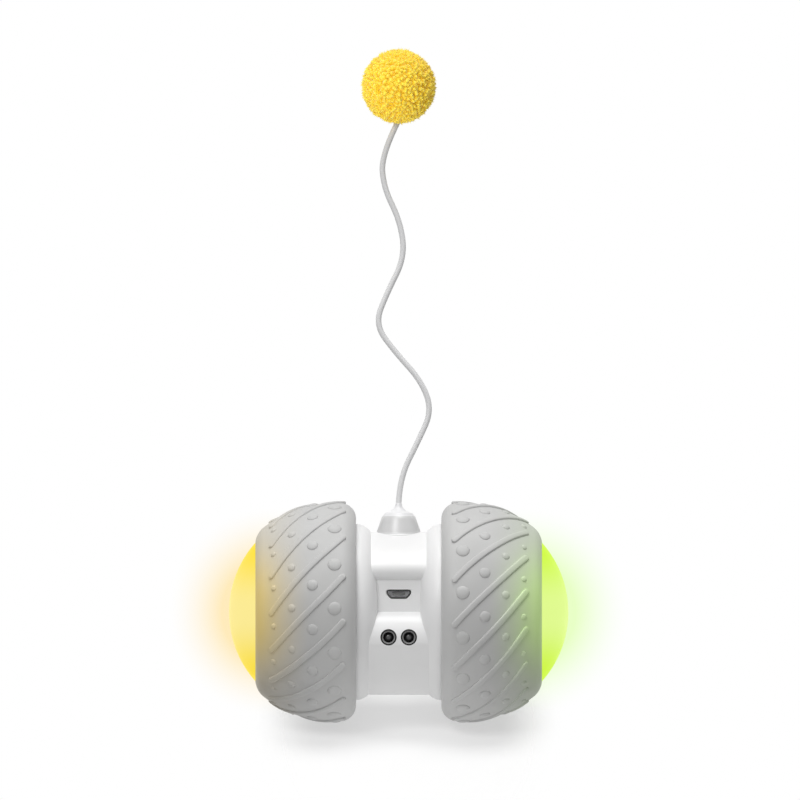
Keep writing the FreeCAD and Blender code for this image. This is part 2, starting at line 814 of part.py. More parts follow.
plate_end = plate_x + plate_thickness
shaft_end = first_stage_x + first_stage_width + gear_end_gap
save_pair("motor_can", motor_can())
save_pair("motor_end_cap", motor_end_cap())
save_pair("motor_shaft", rod_x(motor_shaft_radius, plate_x + running_fit, shaft_end, motor_y, motor_z))
motor_pinion = gear(pinion_teeth, pinion_turn, first_stage_x, first_stage_width, motor_y, motor_z)
save_pair("motor_pinion", motor_pinion.cut(rod_x(motor_shaft_radius, 0, through, motor_y, motor_z)))


# Steel gear plate: three arms join the axle end, the middle gear's pin and the motor's face
def arm(start, end):
    width = plate_half_width
    length = math.hypot(end[0] - start[0], end[1] - start[1])
    turn = math.degrees(math.atan2(end[1] - start[1], end[0] - start[0]))
    bar = Part.makeBox(plate_thickness, length, 2 * width, Vector(0, 0, -width))
    bar.rotate(ORIGIN, X_AXIS, turn)
    bar.translate(Vector(plate_x, start[0], start[1]))
    return bar


def gear_plate():
    places = ((0, 0), (idler_y, idler_z), (motor_y, motor_z))
    pieces = [rod_x(plate_half_width, plate_x, plate_end, y, z) for y, z in places]
    pieces += [arm(places[0], places[1]), arm(places[1], places[2]), arm(places[2], places[0])]
    plate = pieces[0].fuse(pieces[1:])
    holes = [rod_x(axle_radius + running_fit, 0, through), rod_x(pin_radius, 0, through, idler_y, idler_z),
             rod_x(motor_nose_radius, 0, through, motor_y, motor_z)]
    for side in (-motor_screw_place, motor_screw_place):
        holes.append(rod_x(motor_screw_radius + running_fit, 0, through, motor_y, motor_z + side))
    return plate.cut(holes).removeSplitter()


save_pair("gear_plate", gear_plate())
save_pair("gear_pin", rod_x(pin_radius, plate_x, end_wall_x + pin_socket, idler_y, idler_z))


def motor_screw(z):
    head = rod_x(motor_screw_head_radius, plate_end, plate_end + motor_screw_head, motor_y, z)
    return head.fuse(rod_x(motor_screw_radius, plate_x, plate_end, motor_y, z))


save_pair("motor_screws", Part.makeCompound([
    motor_screw(motor_z - motor_screw_place), motor_screw(motor_z + motor_screw_place)]))


# Bronze bush in each end wall of the housing
def axle_bush():
    barrel = rod_x(bush_radius, end_wall_x, end_wall_x + end_wall + bush_proud)
    flange = rod_x(bush_flange_radius, end_wall_x - bush_flange, end_wall_x)
    return barrel.fuse(flange).cut(rod_x(axle_radius + running_fit, 0, through))


save_pair("axle_bush", axle_bush())


# Ring of lamps on the outside of each end wall; it shines through the hub into the dome
lamp_ring_x = end_wall_x + end_wall
lamp_ring_end = lamp_ring_x + lamp_ring_thickness
lamp_ring = rod_x(lamp_ring_outer, lamp_ring_x, lamp_ring_end)
save_pair("lamp_ring", lamp_ring.cut(rod_x(lamp_ring_inner, 0, through)))
lamp = block((lamp_ring_end, lamp_ring_end + lamp_height), (-lamp_width / 2, lamp_width / 2),
             (lamp_place - lamp_length / 2, lamp_place + lamp_length / 2))
save_pair("lamps", Part.makeCompound(around_axle(lamp, lamp_count)))

# Steel axle, its screw, and the output gear pressed on it
axle = rod_x(axle_radius, plate_x, hub_boss_end_x)
tapped_hole = rod_x(axle_screw_radius, hub_boss_end_x - axle_screw_length - seat_gap, hub_boss_end_x)
save_pair("axle", axle.cut(tapped_hole))


def axle_screw():
    head = rod_x(axle_screw_head_radius, hub_boss_end_x, hub_boss_end_x + axle_screw_head)
    shank = rod_x(axle_screw_radius, hub_boss_end_x - axle_screw_length, hub_boss_end_x)
    end = hub_boss_end_x + axle_screw_head
    depth = (end - axle_screw_slot_depth, end + 1)
    narrow = (-axle_screw_slot / 2, axle_screw_slot / 2)
    wide = (-0.6 * axle_screw_head_radius, 0.6 * axle_screw_head_radius)
    return head.fuse(shank).cut([block(depth, wide, narrow), block(depth, narrow, wide)])


save_pair("axle_screw", axle_screw())


def output_gear():
    wheel = gear(output_teeth, output_turn, second_stage_x, second_stage_width)
    wheel_end = second_stage_x + second_stage_width
    groove = rod_x(module * output_teeth / 2 - gear_rim, wheel_end - gear_groove, wheel_end)
    groove = groove.cut(rod_x(bush_radius, 0, through))
    return wheel.cut([groove, rod_x(axle_radius, 0, through)])


save_pair("output_gear", output_gear())


# Soft tyre: one revolved wall with an inner and an outer lip
def tyre_wall_solid():
    crown_edge = arc_xr(crest_x, crown_centre_r, crown_round, 0, crown_angle)
    outer_edge = arc_xr(outer_centre_x, outer_centre_r, outer_round, crown_angle, lip_end_angle)
    inner_round = outer_round - tyre_wall
    inside_outer = arc_xr(outer_centre_x, outer_centre_r, inner_round, lip_inner_angle, crown_angle)
    inside_crown = arc_xr(crest_x, crown_centre_r, crown_round - tyre_wall, crown_angle, 0)
    mouth_x = outer_centre_x + outer_round * math.sin(lip_end_angle)
    lip_top = outer_centre_r + inner_round * math.cos(lip_inner_angle)
    inside = crest_radius - tyre_wall
    edges = [arc_xr(shoulder_centre_x, shoulder_centre_r, shoulder_round, -math.pi / 2, 0), crown_edge,
             outer_edge, inside_outer, inside_crown]

    def at(x, radius):
        return Vector(x, 0, radius)
    joined_lines(edges, [at(shoulder_centre_x, crest_radius), at(crest_x, crest_radius)])
    joined_lines(edges, [at(mouth_x, mouth_radius), at(lip_inner_x, mouth_radius), at(lip_inner_x, lip_top)])
    joined_lines(edges, [
        at(crest_x, inside), at(inner_lip_x, inside), at(inner_lip_x, inner_lip_radius),
        at(tyre_inner_x, inner_lip_radius), at(tyre_inner_x, shoulder_centre_r)])
    return lathe_x(Part.__sortEdges__(edges))


def tread_place(x):
    # Radius of the bare tyre at this distance along the axle, and the lean of its surface there
    if x < shoulder_centre_x:
        away = x - shoulder_centre_x
        return shoulder_centre_r + on_circle(shoulder_round, away), away / shoulder_round
    if x < crest_x:
        return crest_radius, 0.0
    away = x - crest_x
    return crown_centre_r + on_circle(crown_round, away), away / crown_round


def tread_rib():
    # The rib climbs round the tyre at an even rate; each section is square to it and to the surface
    sections = 7
    run = rib_outer_x - rib_inner_x
    sweep = math.radians(rib_sweep)
    wires = []
    for number in range(sections):
        share = number / (sections - 1)
        x = rib_inner_x + run * share
        angle = math.radians(rib_start_angle) + sweep * share
        radius, lean = tread_place(x)
        upright = math.sqrt(1 - lean ** 2)
        out = Vector(lean, -upright * math.cos(angle), upright * math.sin(angle))
        here = Vector(x, -radius * math.cos(angle), radius * math.sin(angle))
        along = Vector(run, radius * sweep * math.sin(angle), radius * sweep * math.cos(angle))
        side = out.cross(along).normalize()
        foot = here - out * rib_sink
        top = here + out * rib_height
        corners = [foot - side * (rib_foot_width / 2), top - side * (rib_top_width / 2),
                   top + side * (rib_top_width / 2), foot + side * (rib_foot_width / 2)]
        wires.append(Part.makePolygon(corners + corners[:1]))
    return Part.makeLoft(wires, True, False)


def tread_dot(x, angle, diameter, height):
    # A low dome with a short root that reaches into the tyre
    half = diameter / 2
    curve = (half ** 2 + height ** 2) / (2 * height)
    root = half ** 2 / (2 * crest_radius) + 0.4
    lean = math.asin(half / curve) / 2
    middle = Vector(curve * math.sin(lean), 0, height - curve + curve * math.cos(lean))
    edges = [Part.Arc(Vector(half, 0, 0), middle, Vector(0, 0, height)).toShape()]
    joined_lines(edges, [
        Vector(0, 0, height), Vector(0, 0, -root), Vector(half, 0, -root), Vector(half, 0, 0)])
    dot = lathe_z(edges)
    radius, slope = tread_place(x)
    dot.rotate(ORIGIN, Y_AXIS, math.degrees(math.asin(slope)))
    dot.translate(Vector(x, 0, radius))
    dot.rotate(ORIGIN, X_AXIS, 90 - angle)
    return dot


def tyre():
    tread = around_axle(tread_rib(), tread_count)
    for column in dot_columns:
        tread += around_axle(tread_dot(*column), tread_count)
    return tyre_wall_solid().fuse(tread)


finished_tyre = tyre()
save_pair("tyre", finished_tyre)


# Hub: a clear cup bonded inside the tyre, with a windowed web on the axle
def hub():
    outer_r = outer_round - tyre_wall
    inner_r = outer_r - hub_wall
    start_x = inner_lip_x
    top = crest_radius - tyre_wall
    end_top = outer_centre_r + outer_r * math.cos(lip_inner_angle)
    seat = mouth_radius - dome_fit
    inside_angle = math.asin(min((seat - outer_centre_r) / inner_r, 1)) if seat > outer_centre_r else 0
    inner_end_x = outer_centre_x + inner_r * math.cos(inside_angle)

    def at(x, radius):
        return Vector(x, 0, radius)
    inner_arc_r = crown_round - tyre_wall - hub_wall
    edges = [arc_xr(crest_x, crown_centre_r, crown_round - tyre_wall, 0, crown_angle),
             arc_xr(outer_centre_x, outer_centre_r, outer_r, crown_angle, lip_inner_angle),
             arc_xr(crest_x, crown_centre_r, inner_arc_r, 0, crown_angle)]
    ledge_x = crest_x + inner_arc_r * math.sin(crown_angle)
    ledge_r = crown_centre_r + inner_arc_r * math.cos(crown_angle)
    joined_lines(edges, [
        at(lip_inner_x, end_top), at(lip_inner_x, seat), at(ledge_x, seat), at(ledge_x, ledge_r)])
    inside = top - hub_wall
    joined_lines(edges, [at(crest_x, top), at(start_x, top), at(start_x, inside), at(crest_x, inside)])
    barrel = lathe_x(Part.__sortEdges__(edges))
    web = rod_x(top - hub_wall / 2, hub_web_x, hub_web_x + hub_web)
    boss = rod_x(hub_boss_radius, hub_web_x - hub_boss_step, hub_boss_end_x)
    window = rod_x(hub_window_radius, 0, through, 0, hub_window_place)
    holes = around_axle(window, hub_windows) + [rod_x(axle_radius, 0, through)]
    return barrel.fuse([web, boss]).cut(holes)


save_pair("hub", hub())


# Dome: a thin clear cap whose skirt plugs into the mouth of the hub
def dome():
    edge_r = mouth_radius - dome_fit
    rise = dome_apex_x - tyre_outer_x
    curve = (edge_r ** 2 + rise ** 2) / (2 * rise)
    centre_x = dome_apex_x - curve
    edge_angle = math.acos(edge_r / curve)
    inner_curve = curve - dome_wall
    inner_edge = edge_r - dome_wall
    inner_angle = math.acos(inner_edge / inner_curve)
    inner_x = centre_x + inner_curve * math.sin(inner_angle)
    skirt_x = tyre_outer_x - dome_skirt
    edges = [arc_xr(centre_x, 0, curve, edge_angle, math.pi / 2),
             arc_xr(centre_x, 0, inner_curve, inner_angle, math.pi / 2)]

    def at(x, radius):
        return Vector(x, 0, radius)
    joined_lines(edges, [at(dome_apex_x - dome_wall, 0), at(dome_apex_x, 0)])
    joined_lines(edges, [
        at(tyre_outer_x, edge_r), at(skirt_x, edge_r), at(skirt_x, inner_edge), at(inner_x, inner_edge)])
    return lathe_x(Part.__sortEdges__(edges))


save_pair("dome", dome())
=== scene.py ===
import math
import bmesh
import bpy
from mathutils import Matrix, Vector


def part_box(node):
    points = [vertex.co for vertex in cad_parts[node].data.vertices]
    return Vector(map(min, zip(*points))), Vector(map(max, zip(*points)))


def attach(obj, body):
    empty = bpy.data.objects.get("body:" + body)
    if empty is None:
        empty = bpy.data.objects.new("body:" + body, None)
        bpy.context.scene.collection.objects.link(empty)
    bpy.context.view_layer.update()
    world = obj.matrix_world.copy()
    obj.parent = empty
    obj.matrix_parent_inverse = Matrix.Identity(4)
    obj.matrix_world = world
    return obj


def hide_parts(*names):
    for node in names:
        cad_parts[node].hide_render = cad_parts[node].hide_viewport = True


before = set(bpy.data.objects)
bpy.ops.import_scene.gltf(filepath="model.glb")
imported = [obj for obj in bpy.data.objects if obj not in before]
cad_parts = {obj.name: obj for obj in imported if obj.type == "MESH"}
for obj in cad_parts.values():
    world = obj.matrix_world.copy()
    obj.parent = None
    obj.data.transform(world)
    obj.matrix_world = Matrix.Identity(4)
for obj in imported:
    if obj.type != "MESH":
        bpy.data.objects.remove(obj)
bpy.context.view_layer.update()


# Housing: two halves moulded in white plastic, butted at the middle and closed with screws from behind.
# The plastic has a fine spark-eroded grain and the faint sink and handling marks of a moulded toy.
def add_node(nodes, kind, values=None, **settings):
    # A node with its settings and the fixed values of its inputs
    node = nodes.new(kind)
    for setting, value in settings.items():
        setattr(node, setting, value)
    for socket, value in (values or {}).items():
        node.inputs[socket].default_value = value
    return node


def join(links, *joints):
    # Each joint leads from an output of one node to an input of another
    for start, outlet, end, inlet in joints:
        links.new(start.outputs[outlet], end.inputs[inlet])


def bare_material(name):
    material = bpy.data.materials.new(name)
    material.use_nodes = True
    nodes = material.node_tree.nodes
    nodes.clear()
    return material, nodes, material.node_tree.links, nodes.new("ShaderNodeOutputMaterial")


def new_material(name, values=None):
    material, nodes, links, output = bare_material(name)
    principled = add_node(nodes, "ShaderNodeBsdfPrincipled", values)
    join(links, (principled, "BSDF", output, "Surface"))
    return material, nodes, links, principled


def new_group(name, inputs, outputs):
    # A shader group whose inputs and outputs are all plain numbers
    group = bpy.data.node_groups.new(name, "ShaderNodeTree")
    for label, value in inputs.items():
        socket = group.interface.new_socket(label, in_out="INPUT", socket_type="NodeSocketFloat")
        socket.default_value = value
    for label in outputs:
        group.interface.new_socket(label, in_out="OUTPUT", socket_type="NodeSocketFloat")
    return group, group.nodes.new("NodeGroupInput"), group.nodes.new("NodeGroupOutput")


def moulded_grain_group():
    # Height and roughness of a moulded skin, and a slow mask for handling marks
    group, source, result = new_group(
        "moulded grain", {"Grain Size": 4000.0, "Roughness": 0.4, "Spread": 0.06},
        ("Height", "Roughness", "Marks"))
    nodes = group.nodes
    place = add_node(nodes, "ShaderNodeTexCoord")
    grain = add_node(nodes, "ShaderNodeTexNoise", {"Detail": 3.0})
    marks = add_node(nodes, "ShaderNodeTexNoise", {"Scale": 90.0, "Detail": 2.0})
    spread = add_node(nodes, "ShaderNodeMapRange", {"From Min": 0.3, "From Max": 0.7})
    low = add_node(nodes, "ShaderNodeMath", operation="SUBTRACT")
    high = add_node(nodes, "ShaderNodeMath", operation="ADD")
    join(group.links,
         (place, "Object", grain, "Vector"), (place, "Object", marks, "Vector"),
         (source, "Grain Size", grain, "Scale"),
         (source, "Roughness", low, 0), (source, "Spread", low, 1),
         (source, "Roughness", high, 0), (source, "Spread", high, 1),
         (marks, "Fac", spread, "Value"), (low, 0, spread, "To Min"), (high, 0, spread, "To Max"),
         (grain, "Fac", result, "Height"), (spread, "Result", result, "Roughness"),
         (marks, "Fac", result, "Marks"))
    return group


moulded_grain = moulded_grain_group()
mm = 0.001


def grain_skin(nodes, grain_size, roughness):
    return add_node(nodes, "ShaderNodeGroup", {"Grain Size": grain_size, "Roughness": roughness},
                    node_tree=moulded_grain)


def grain_finish(nodes, links, skin, principled, strength, distance):
    # The skin's roughness goes straight in, and its height becomes a bump
    bump = add_node(nodes, "ShaderNodeBump", {"Strength": strength, "Distance": distance})
    join(links, (skin, "Roughness", principled, "Roughness"), (skin, "Height", bump, "Height"),
         (bump, "Normal", principled, "Normal"))


def moulded_plastic(name, colour, marked_colour, roughness, values=None, grain_size=4000.0,
                    grain_depth=0.04):
    material, nodes, links, principled = new_material(name, values)
    skin = grain_skin(nodes, grain_size, roughness)
    tint = add_node(nodes, "ShaderNodeMix", {"A": (*colour, 1.0), "B": (*marked_colour, 1.0)},
                    data_type="RGBA")
    join(links, (skin, "Marks", tint, "Factor"), (tint, "Result", principled, "Base Color"))
    grain_finish(nodes, links, skin, principled, strength=grain_depth, distance=0.08 * mm)
    return material


scene = bpy.context.scene


def placed(name, data):
    item = bpy.data.objects.new(name, data)
    scene.collection.objects.link(item)
    return item


def seated_piece(name, data, body, node):
    piece = placed(name, data)
    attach(piece, body)
    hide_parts(node)
    return piece


def shade_smooth(work, crease):
    # Smooth all over but for the edges sharper than the crease, in degrees
    for face in work.faces:
        face.smooth = True
    for edge in work.edges:
        edge.smooth = edge.calc_face_angle(0.0) < math.radians(crease)


def smooth_twin(node, body, material):
    # A merged copy of a solid's mesh, shaded smooth up to its real edges
    merge_reach, crease = 2e-6, 32
    name = node + "_moulded"
    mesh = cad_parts[node].data.copy()
    mesh.name = name
    work = bmesh.new()
    work.from_mesh(mesh)
    bmesh.ops.remove_doubles(work, verts=work.verts, dist=merge_reach)
    shade_smooth(work, crease)
    work.to_mesh(mesh)
    work.free()
    if "custom_normal" in mesh.attributes:
        mesh.attributes.remove(mesh.attributes["custom_normal"])
    mesh.materials.clear()
    mesh.materials.append(material)
    return seated_piece(name, mesh, body, node)


white_shell = moulded_plastic(
    "white housing plastic", (0.83, 0.83, 0.83), (0.80, 0.80, 0.80), 0.38,
    {"Subsurface Weight": 0.08, "Subsurface Radius": (1.0, 1.0, 1.0), "Subsurface Scale": 0.8 * mm})
for half in ("front_shell", "rear_shell"):
    smooth_twin(half, "housing", white_shell)


# Screws: four short steel screws sunk in the rear half close the housing.
# They are plated and bright, with the fine grain of a part that was tumbled before plating.
def grained_metal(name, colour, roughness, grain_size=6000.0, metallic=1.0):
    material, nodes, links, principled = new_material(
        name, {"Base Color": (*colour, 1.0), "Metallic": metallic})
    skin = grain_skin(nodes, grain_size, roughness)
    grain_finish(nodes, links, skin, principled, strength=0.1, distance=0.05 * mm)
    return material


def dress(material, *names):
    # A CAD solid whose shape is right keeps its mesh and takes a finish
    for name in names:
        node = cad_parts[name]
        node.data.materials.clear()
        node.data.materials.append(material)


screw_steel = grained_metal("screw steel", (0.55, 0.55, 0.57), 0.3)
dress(screw_steel, "shell_screws", "board_screws", "axle_screw_left", "axle_screw_right",
      "motor_screws_left", "motor_screws_right")

# Wand socket: a separate cone of glossier plastic, gripped by its flange between the two halves; its colour
# is set greyer than the housing's white as painted shade.
# The white wand plug stands in it, and its clear gloss shows the upright gleam of a lamp.
# Painted shade: the grey colour stands in for the shade on the cone's upright sides.
shaded_socket_plastic = moulded_plastic(
    "socket plastic greyed as shade", (0.63, 0.63, 0.63), (0.60, 0.60, 0.60), 0.3,
    {"Coat Weight": 1.0, "Coat Roughness": 0.42})
smooth_twin("wand_socket", "housing", shaded_socket_plastic)


# Charging socket: a folded shell of nickel-plated steel round a grey tongue, soldered to the board.
# Only its mouth shows, in the recess under the hood; the rim of the mouth is painted near black as painted
# shade of the gap round it.
def mark_faces(piece, chosen):
    # An attribute that is 1 on the chosen faces of a piece
    marks = piece.data.attributes.new("marked face", "FLOAT", "FACE")
    for face, mark in zip(piece.data.polygons, marks.data):
        mark.value = 1.0 if chosen(face) else 0.0


def tint_marked(material, colour):
    # The marked faces take their own colour over whatever feeds the base colour
    nodes, links = material.node_tree.nodes, material.node_tree.links
    base = nodes["Principled BSDF"].inputs["Base Color"]
    mark = add_node(nodes, "ShaderNodeAttribute", attribute_name="marked face")
    choice = add_node(nodes, "ShaderNodeMix", {"B": (*colour, 1.0)}, data_type="RGBA")
    if base.links:
        links.new(base.links[0].from_socket, choice.inputs["A"])
    else:
        choice.inputs["A"].default_value = base.default_value
    links.new(mark.outputs["Fac"], choice.inputs["Factor"])
    links.new(choice.outputs["Result"], base)


port_metal = grained_metal("plated steel", (0.88, 0.88, 0.89), 0.6, metallic=0.35)
# Painted shade: the front rim faces are painted near black for the shade in the gap round the mouth.
tint_marked(port_metal, (0.04, 0.04, 0.04))
port = smooth_twin("usb_port_shell", "housing", port_metal)
port_rim_depth = 0.05 * mm
port_rim_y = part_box("usb_port_shell")[0][1] + port_rim_depth
mark_faces(port, lambda face: face.center.y < port_rim_y)
tongue_plastic = moulded_plastic("tongue plastic", (0.13, 0.13, 0.13), (0.11, 0.11, 0.11), 0.4)
smooth_twin("usb_port_tongue", "housing", tongue_plastic)

# Sensors: an infrared lamp and its receiver, two round-nosed bodies of dark clear resin.
# Each looks out through a black moulded sleeve with a thin bevel inside its mouth, painted grey as a painted
# highlight.
lens_resin = moulded_plastic(
    "dark lens resin", (0.04, 0.04, 0.042), (0.05, 0.05, 0.05), 0.3,
    {"Coat Weight": 0.3, "Coat Roughness": 0.2})
smooth_twin("infrared_emitter", "housing", lens_resin)
smooth_twin("infrared_receiver", "housing", lens_resin)
sleeve_black = moulded_plastic(
    "black sleeve", (0.012, 0.012, 0.012), (0.016, 0.016, 0.016), 0.4, {"Specular IOR Level": 0.1})
# Painted highlight: the bevel faces are painted grey for the light that they catch.
tint_marked(sleeve_black, (0.25, 0.25, 0.25))
sleeves = smooth_twin("sensor_sleeves", "housing", sleeve_black)
bevel_least, bevel_most = 0.2, 0.9
mark_faces(sleeves, lambda face: bevel_least < abs(face.normal.y) < bevel_most)

# Electronics: a green lacquered board with black chips and a second small board behind the sensors.
# The push switch stands on the rear edge of the main board, and a ring of lamps sits behind each hub.
board_lacquer = moulded_plastic("green board lacquer", (0.02, 0.14, 0.05), (0.02, 0.11, 0.04), 0.3)
chip_resin = moulded_plastic("chip resin", (0.015, 0.015, 0.015), (0.025, 0.025, 0.025), 0.55)
lamp_resin = moulded_plastic("lamp resin", (0.9, 0.88, 0.7), (0.85, 0.82, 0.6), 0.3)
dress(board_lacquer, "main_board", "sensor_board", "lamp_ring_left", "lamp_ring_right")
dress(chip_resin, "board_chips", "power_switch", "motor_end_cap_left", "motor_end_cap_right")
dress(lamp_resin, "lamps_left", "lamps_right")

# Power: a foil pouch cell lies on a steel weight in the belly, which keeps the wand upright.
# Both are hidden inside the closed housing.
cell_foil = grained_metal("cell foil", (0.6, 0.61, 0.63), 0.4, grain_size=1500.0)
dress(cell_foil, "battery_cell")
dress(screw_steel, "balance_weight")

# Drive: on each side a small motor in a steel can turns its wheel through two pairs of gears.
# The gears are milky nylon on steel pins, between a steel plate and the housing's end wall.
gear_nylon = moulded_plastic("gear nylon", (0.75, 0.74, 0.68), (0.7, 0.69, 0.62), 0.45)
motor_steel = grained_metal("motor can steel", (0.5, 0.5, 0.52), 0.35)
gear_brass = grained_metal("pinion brass", (0.72, 0.5, 0.2), 0.3)
bush_bronze = grained_metal("bush bronze", (0.6, 0.38, 0.2), 0.4)
for side in ("left", "right"):
    dress(motor_steel, "motor_can_" + side)
    dress(gear_nylon, "idler_gear_" + side, "output_gear_" + side)
    dress(gear_brass, "motor_pinion_" + side)
    dress(bush_bronze, "axle_bush_" + side)
    dress(screw_steel, "axle_" + side, "gear_pin_" + side, "gear_plate_" + side, "motor_shaft_" + side)

# Power button: a white cap in the rear half, with a soft rounded rim, that slides in against the switch.
# It is moulded in the same plastic as the housing.
smooth_twin("power_button", "button", white_shell)

# Hubs: cups of clear frosted plastic that carry the tyres and let the lamps shine into the domes.
# The tyre and the dome hide all of a hub but a thin ring.
hub_plastic = moulded_plastic("frosted hub plastic", (0.8, 0.8, 0.78), (0.76, 0.76, 0.74), 0.35)
for side in ("left", "right"):
    smooth_twin("hub_" + side, "wheel_" + side, hub_plastic)

# Tyres: one soft silicone moulding each, the same part turned half round for the other side.
# Fifteen slanting ribs and four columns of raised dots stand on a crowned wall. The dome's light on the
# outer rim is painted light: the rim's colour is tinted with it and the rim gives a little of it out. Sizes
# are in millimetres, angles in degrees from the front.
tyre_inner_x, tyre_outer_x = 13.65, 45.9
crest_x, crest_radius = 20.5, 34.9
shoulder_round, crown_round, outer_round = 5.0, 37.0, 7.2
tyre_wall, lip_radius, mouth_radius = 3.0, 28.7, 22.4
inner_lip_x, lip_depth = 16.6, 3.5
mouth_edge_in, mouth_edge_rise, mouth_edge_round = 0.6, 0.1, 0.3
shoulder_steps, crown_steps, outer_steps, mouth_edge_steps = 12, 16, 9, 3
inner_lip_steps, inner_crown_steps = 5, 10
wall_steps, wall_crease = 180, 40
tread_count = 15
rib_inner_x, rib_outer_x = 17.9, 40.6
rib_start_angle, rib_sweep, rib_bow = 17.2, 43.25, 20.0
rib_half_width, rib_height, rib_root = 1.02, 0.6, 0.25
rib_profile = ((1.0, 0.0), (0.96, 0.4), (0.87, 0.7), (0.7, 0.9), (0.4, 0.98), (0.0, 1.0))
rib_steps, rib_end_steps, rib_end_size, rib_glance = 34, 6, 0.03, 0.001
dot_columns = (  # x, angle, diameter, height
    (20.5, 10.2, 4.6, 0.6), (27.6, 21.5, 3.8, 0.55), (34.3, 9.8, 2.8, 0.5), (40.1, 21.0, 2.1, 0.45))
dot_rings, dot_sides, dot_root, dot_flatness = 7, 22, 0.12, 2.7

# The axle line that both wheels turn on, and the centres of the wall's arcs
axle_low, axle_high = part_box("axle_right")
axle_z = (axle_low[2] + axle_high[2]) / 2
crown_centre_r = crest_radius - crown_round
crown_angle = math.asin((tyre_outer_x - outer_round - crest_x) / (crown_round - outer_round))
outer_centre = (
    tyre_outer_x - outer_round, crown_centre_r + (crown_round - outer_round) * math.cos(crown_angle))
lip_end_angle = math.acos((mouth_radius - outer_centre[1]) / outer_round)
lip_inner_angle = math.asin((tyre_outer_x - lip_depth - outer_centre[0]) / (outer_round - tyre_wall))


def arc_points(centre, radius, start, end, steps):
    points = []
    for step in range(steps + 1):
        angle = start + (end - start) * step / steps
        points.append((centre[0] + radius * math.sin(angle), centre[1] + radius * math.cos(angle)))
    return points


def tyre_outline():
    # The wall's section, from the inner shoulder over the crown and lip, and back along the inside
    crown_centre = (crest_x, crown_centre_r)
    outline = arc_points((tyre_inner_x + shoulder_round, crest_radius - shoulder_round), shoulder_round,
                         -math.pi / 2, 0, shoulder_steps)
    outline += arc_points(crown_centre, crown_round, 0, crown_angle, crown_steps)
    outline += arc_points(outer_centre, outer_round, crown_angle, lip_end_angle, outer_steps)[1:]
    outline += arc_points((tyre_outer_x - mouth_edge_in, mouth_radius + mouth_edge_rise),
                          mouth_edge_round, math.pi / 2, math.pi, mouth_edge_steps)
    outline.append((tyre_outer_x - lip_depth, mouth_radius))
    outline += arc_points(outer_centre, outer_round - tyre_wall, lip_inner_angle, crown_angle,
                          inner_lip_steps)
    outline += arc_points(crown_centre, crown_round - tyre_wall, crown_angle, 0, inner_crown_steps)[1:]
    outline.append((inner_lip_x, crest_radius - tyre_wall))
    outline.append((inner_lip_x, lip_radius))
    outline.append((tyre_inner_x, lip_radius))
    return outline


def bridge(work, rows):
    # Faces between each closed row of points and the next
    for row, following in zip(rows, rows[1:]):
        for number in range(len(row)):
            after = (number + 1) % len(row)
            work.faces.new((row[number], row[after], following[after], following[number]))


def finished_mesh(work, name):
    mesh = bpy.data.meshes.new(name)
    work.to_mesh(mesh)
    work.free()
    return mesh


def tyre_wall_mesh():
    # The section carried round the axle line
    outline = tyre_outline()
    work = bmesh.new()
    rings = []
    for step in range(wall_steps):
        angle = 2 * math.pi * step / wall_steps
        turned = [(x, -radius * math.sin(angle), radius * math.cos(angle)) for x, radius in outline]
        rings.append([work.verts.new((x * mm, y * mm, axle_z + z * mm)) for x, y, z in turned])
    bridge(work, rings + rings[:1])
    bmesh.ops.recalc_face_normals(work, faces=work.faces)
    shade_smooth(work, wall_crease)
    return finished_mesh(work, "tyre wall")


def tread_place(x):
    # Radius of the bare wall here, and the lean of its surface
    if x < crest_x:
        return crest_radius, 0.0
    away = x - crest_x
    return crown_centre_r + math.sqrt(crown_round ** 2 - away ** 2), away / crown_round


def tread_frame(x, angle):
    # A point on the wall with the direction that stands out from it; angles rise from the front
    radius, lean = tread_place(x)
    upright = math.sqrt(1 - lean ** 2)
    out = Vector((lean, -upright * math.cos(angle), upright * math.sin(angle)))
    return Vector((x, -radius * math.cos(angle), radius * math.sin(angle))), out


def rib_spot(share):
    # An even climb with a slow bow that is deepest past the middle, so the dots lie midway between ribs
    angle = rib_start_angle + rib_sweep * share - rib_bow * share ** 2 * (1 - share)
    return tread_frame(rib_inner_x + (rib_outer_x - rib_inner_x) * share, math.radians(angle))


def add_rib(work):
    # A low bar with steep sides, a rounded back and round ends, swept along its climb
    outline = list(rib_profile) + [(-width, lift) for width, lift in reversed(rib_profile[:-1])]
    section = [(outline[0][0], None), *outline, (outline[-1][0], None)]
    reach = rib_half_width / math.hypot(rib_outer_x - rib_inner_x, math.radians(rib_sweep) * crest_radius)
    cap = [reach * (1 - math.cos(math.pi / 2 * step / rib_end_steps)) for step in range(rib_end_steps + 1)]
    shares = [share - reach for share in cap]
    shares += [step / rib_steps for step in range(1, rib_steps)]
    shares += [1 + reach - share for share in reversed(cap)]
    rows = []
    for share in shares:
        here, out = rib_spot(share)
        ahead, _ = rib_spot(share + rib_glance)
        side = out.cross((ahead - here).normalized()).normalized()
        beyond = max(-share, share - 1, 0.0) / reach
        size = max(math.sqrt(max(1 - beyond ** 2, 0.0)), rib_end_size)
        row = []
        for width, lift in section:
            rise = -rib_root if lift is None else lift * rib_height * size ** 0.5
            spot = (here + side * (width * rib_half_width * size) + out * rise) * mm
            row.append(work.verts.new((spot.x, spot.y, spot.z)))
        rows.append(row)
    bridge(work, rows)
    work.faces.new(rows[0])
    work.faces.new(rows[-1])


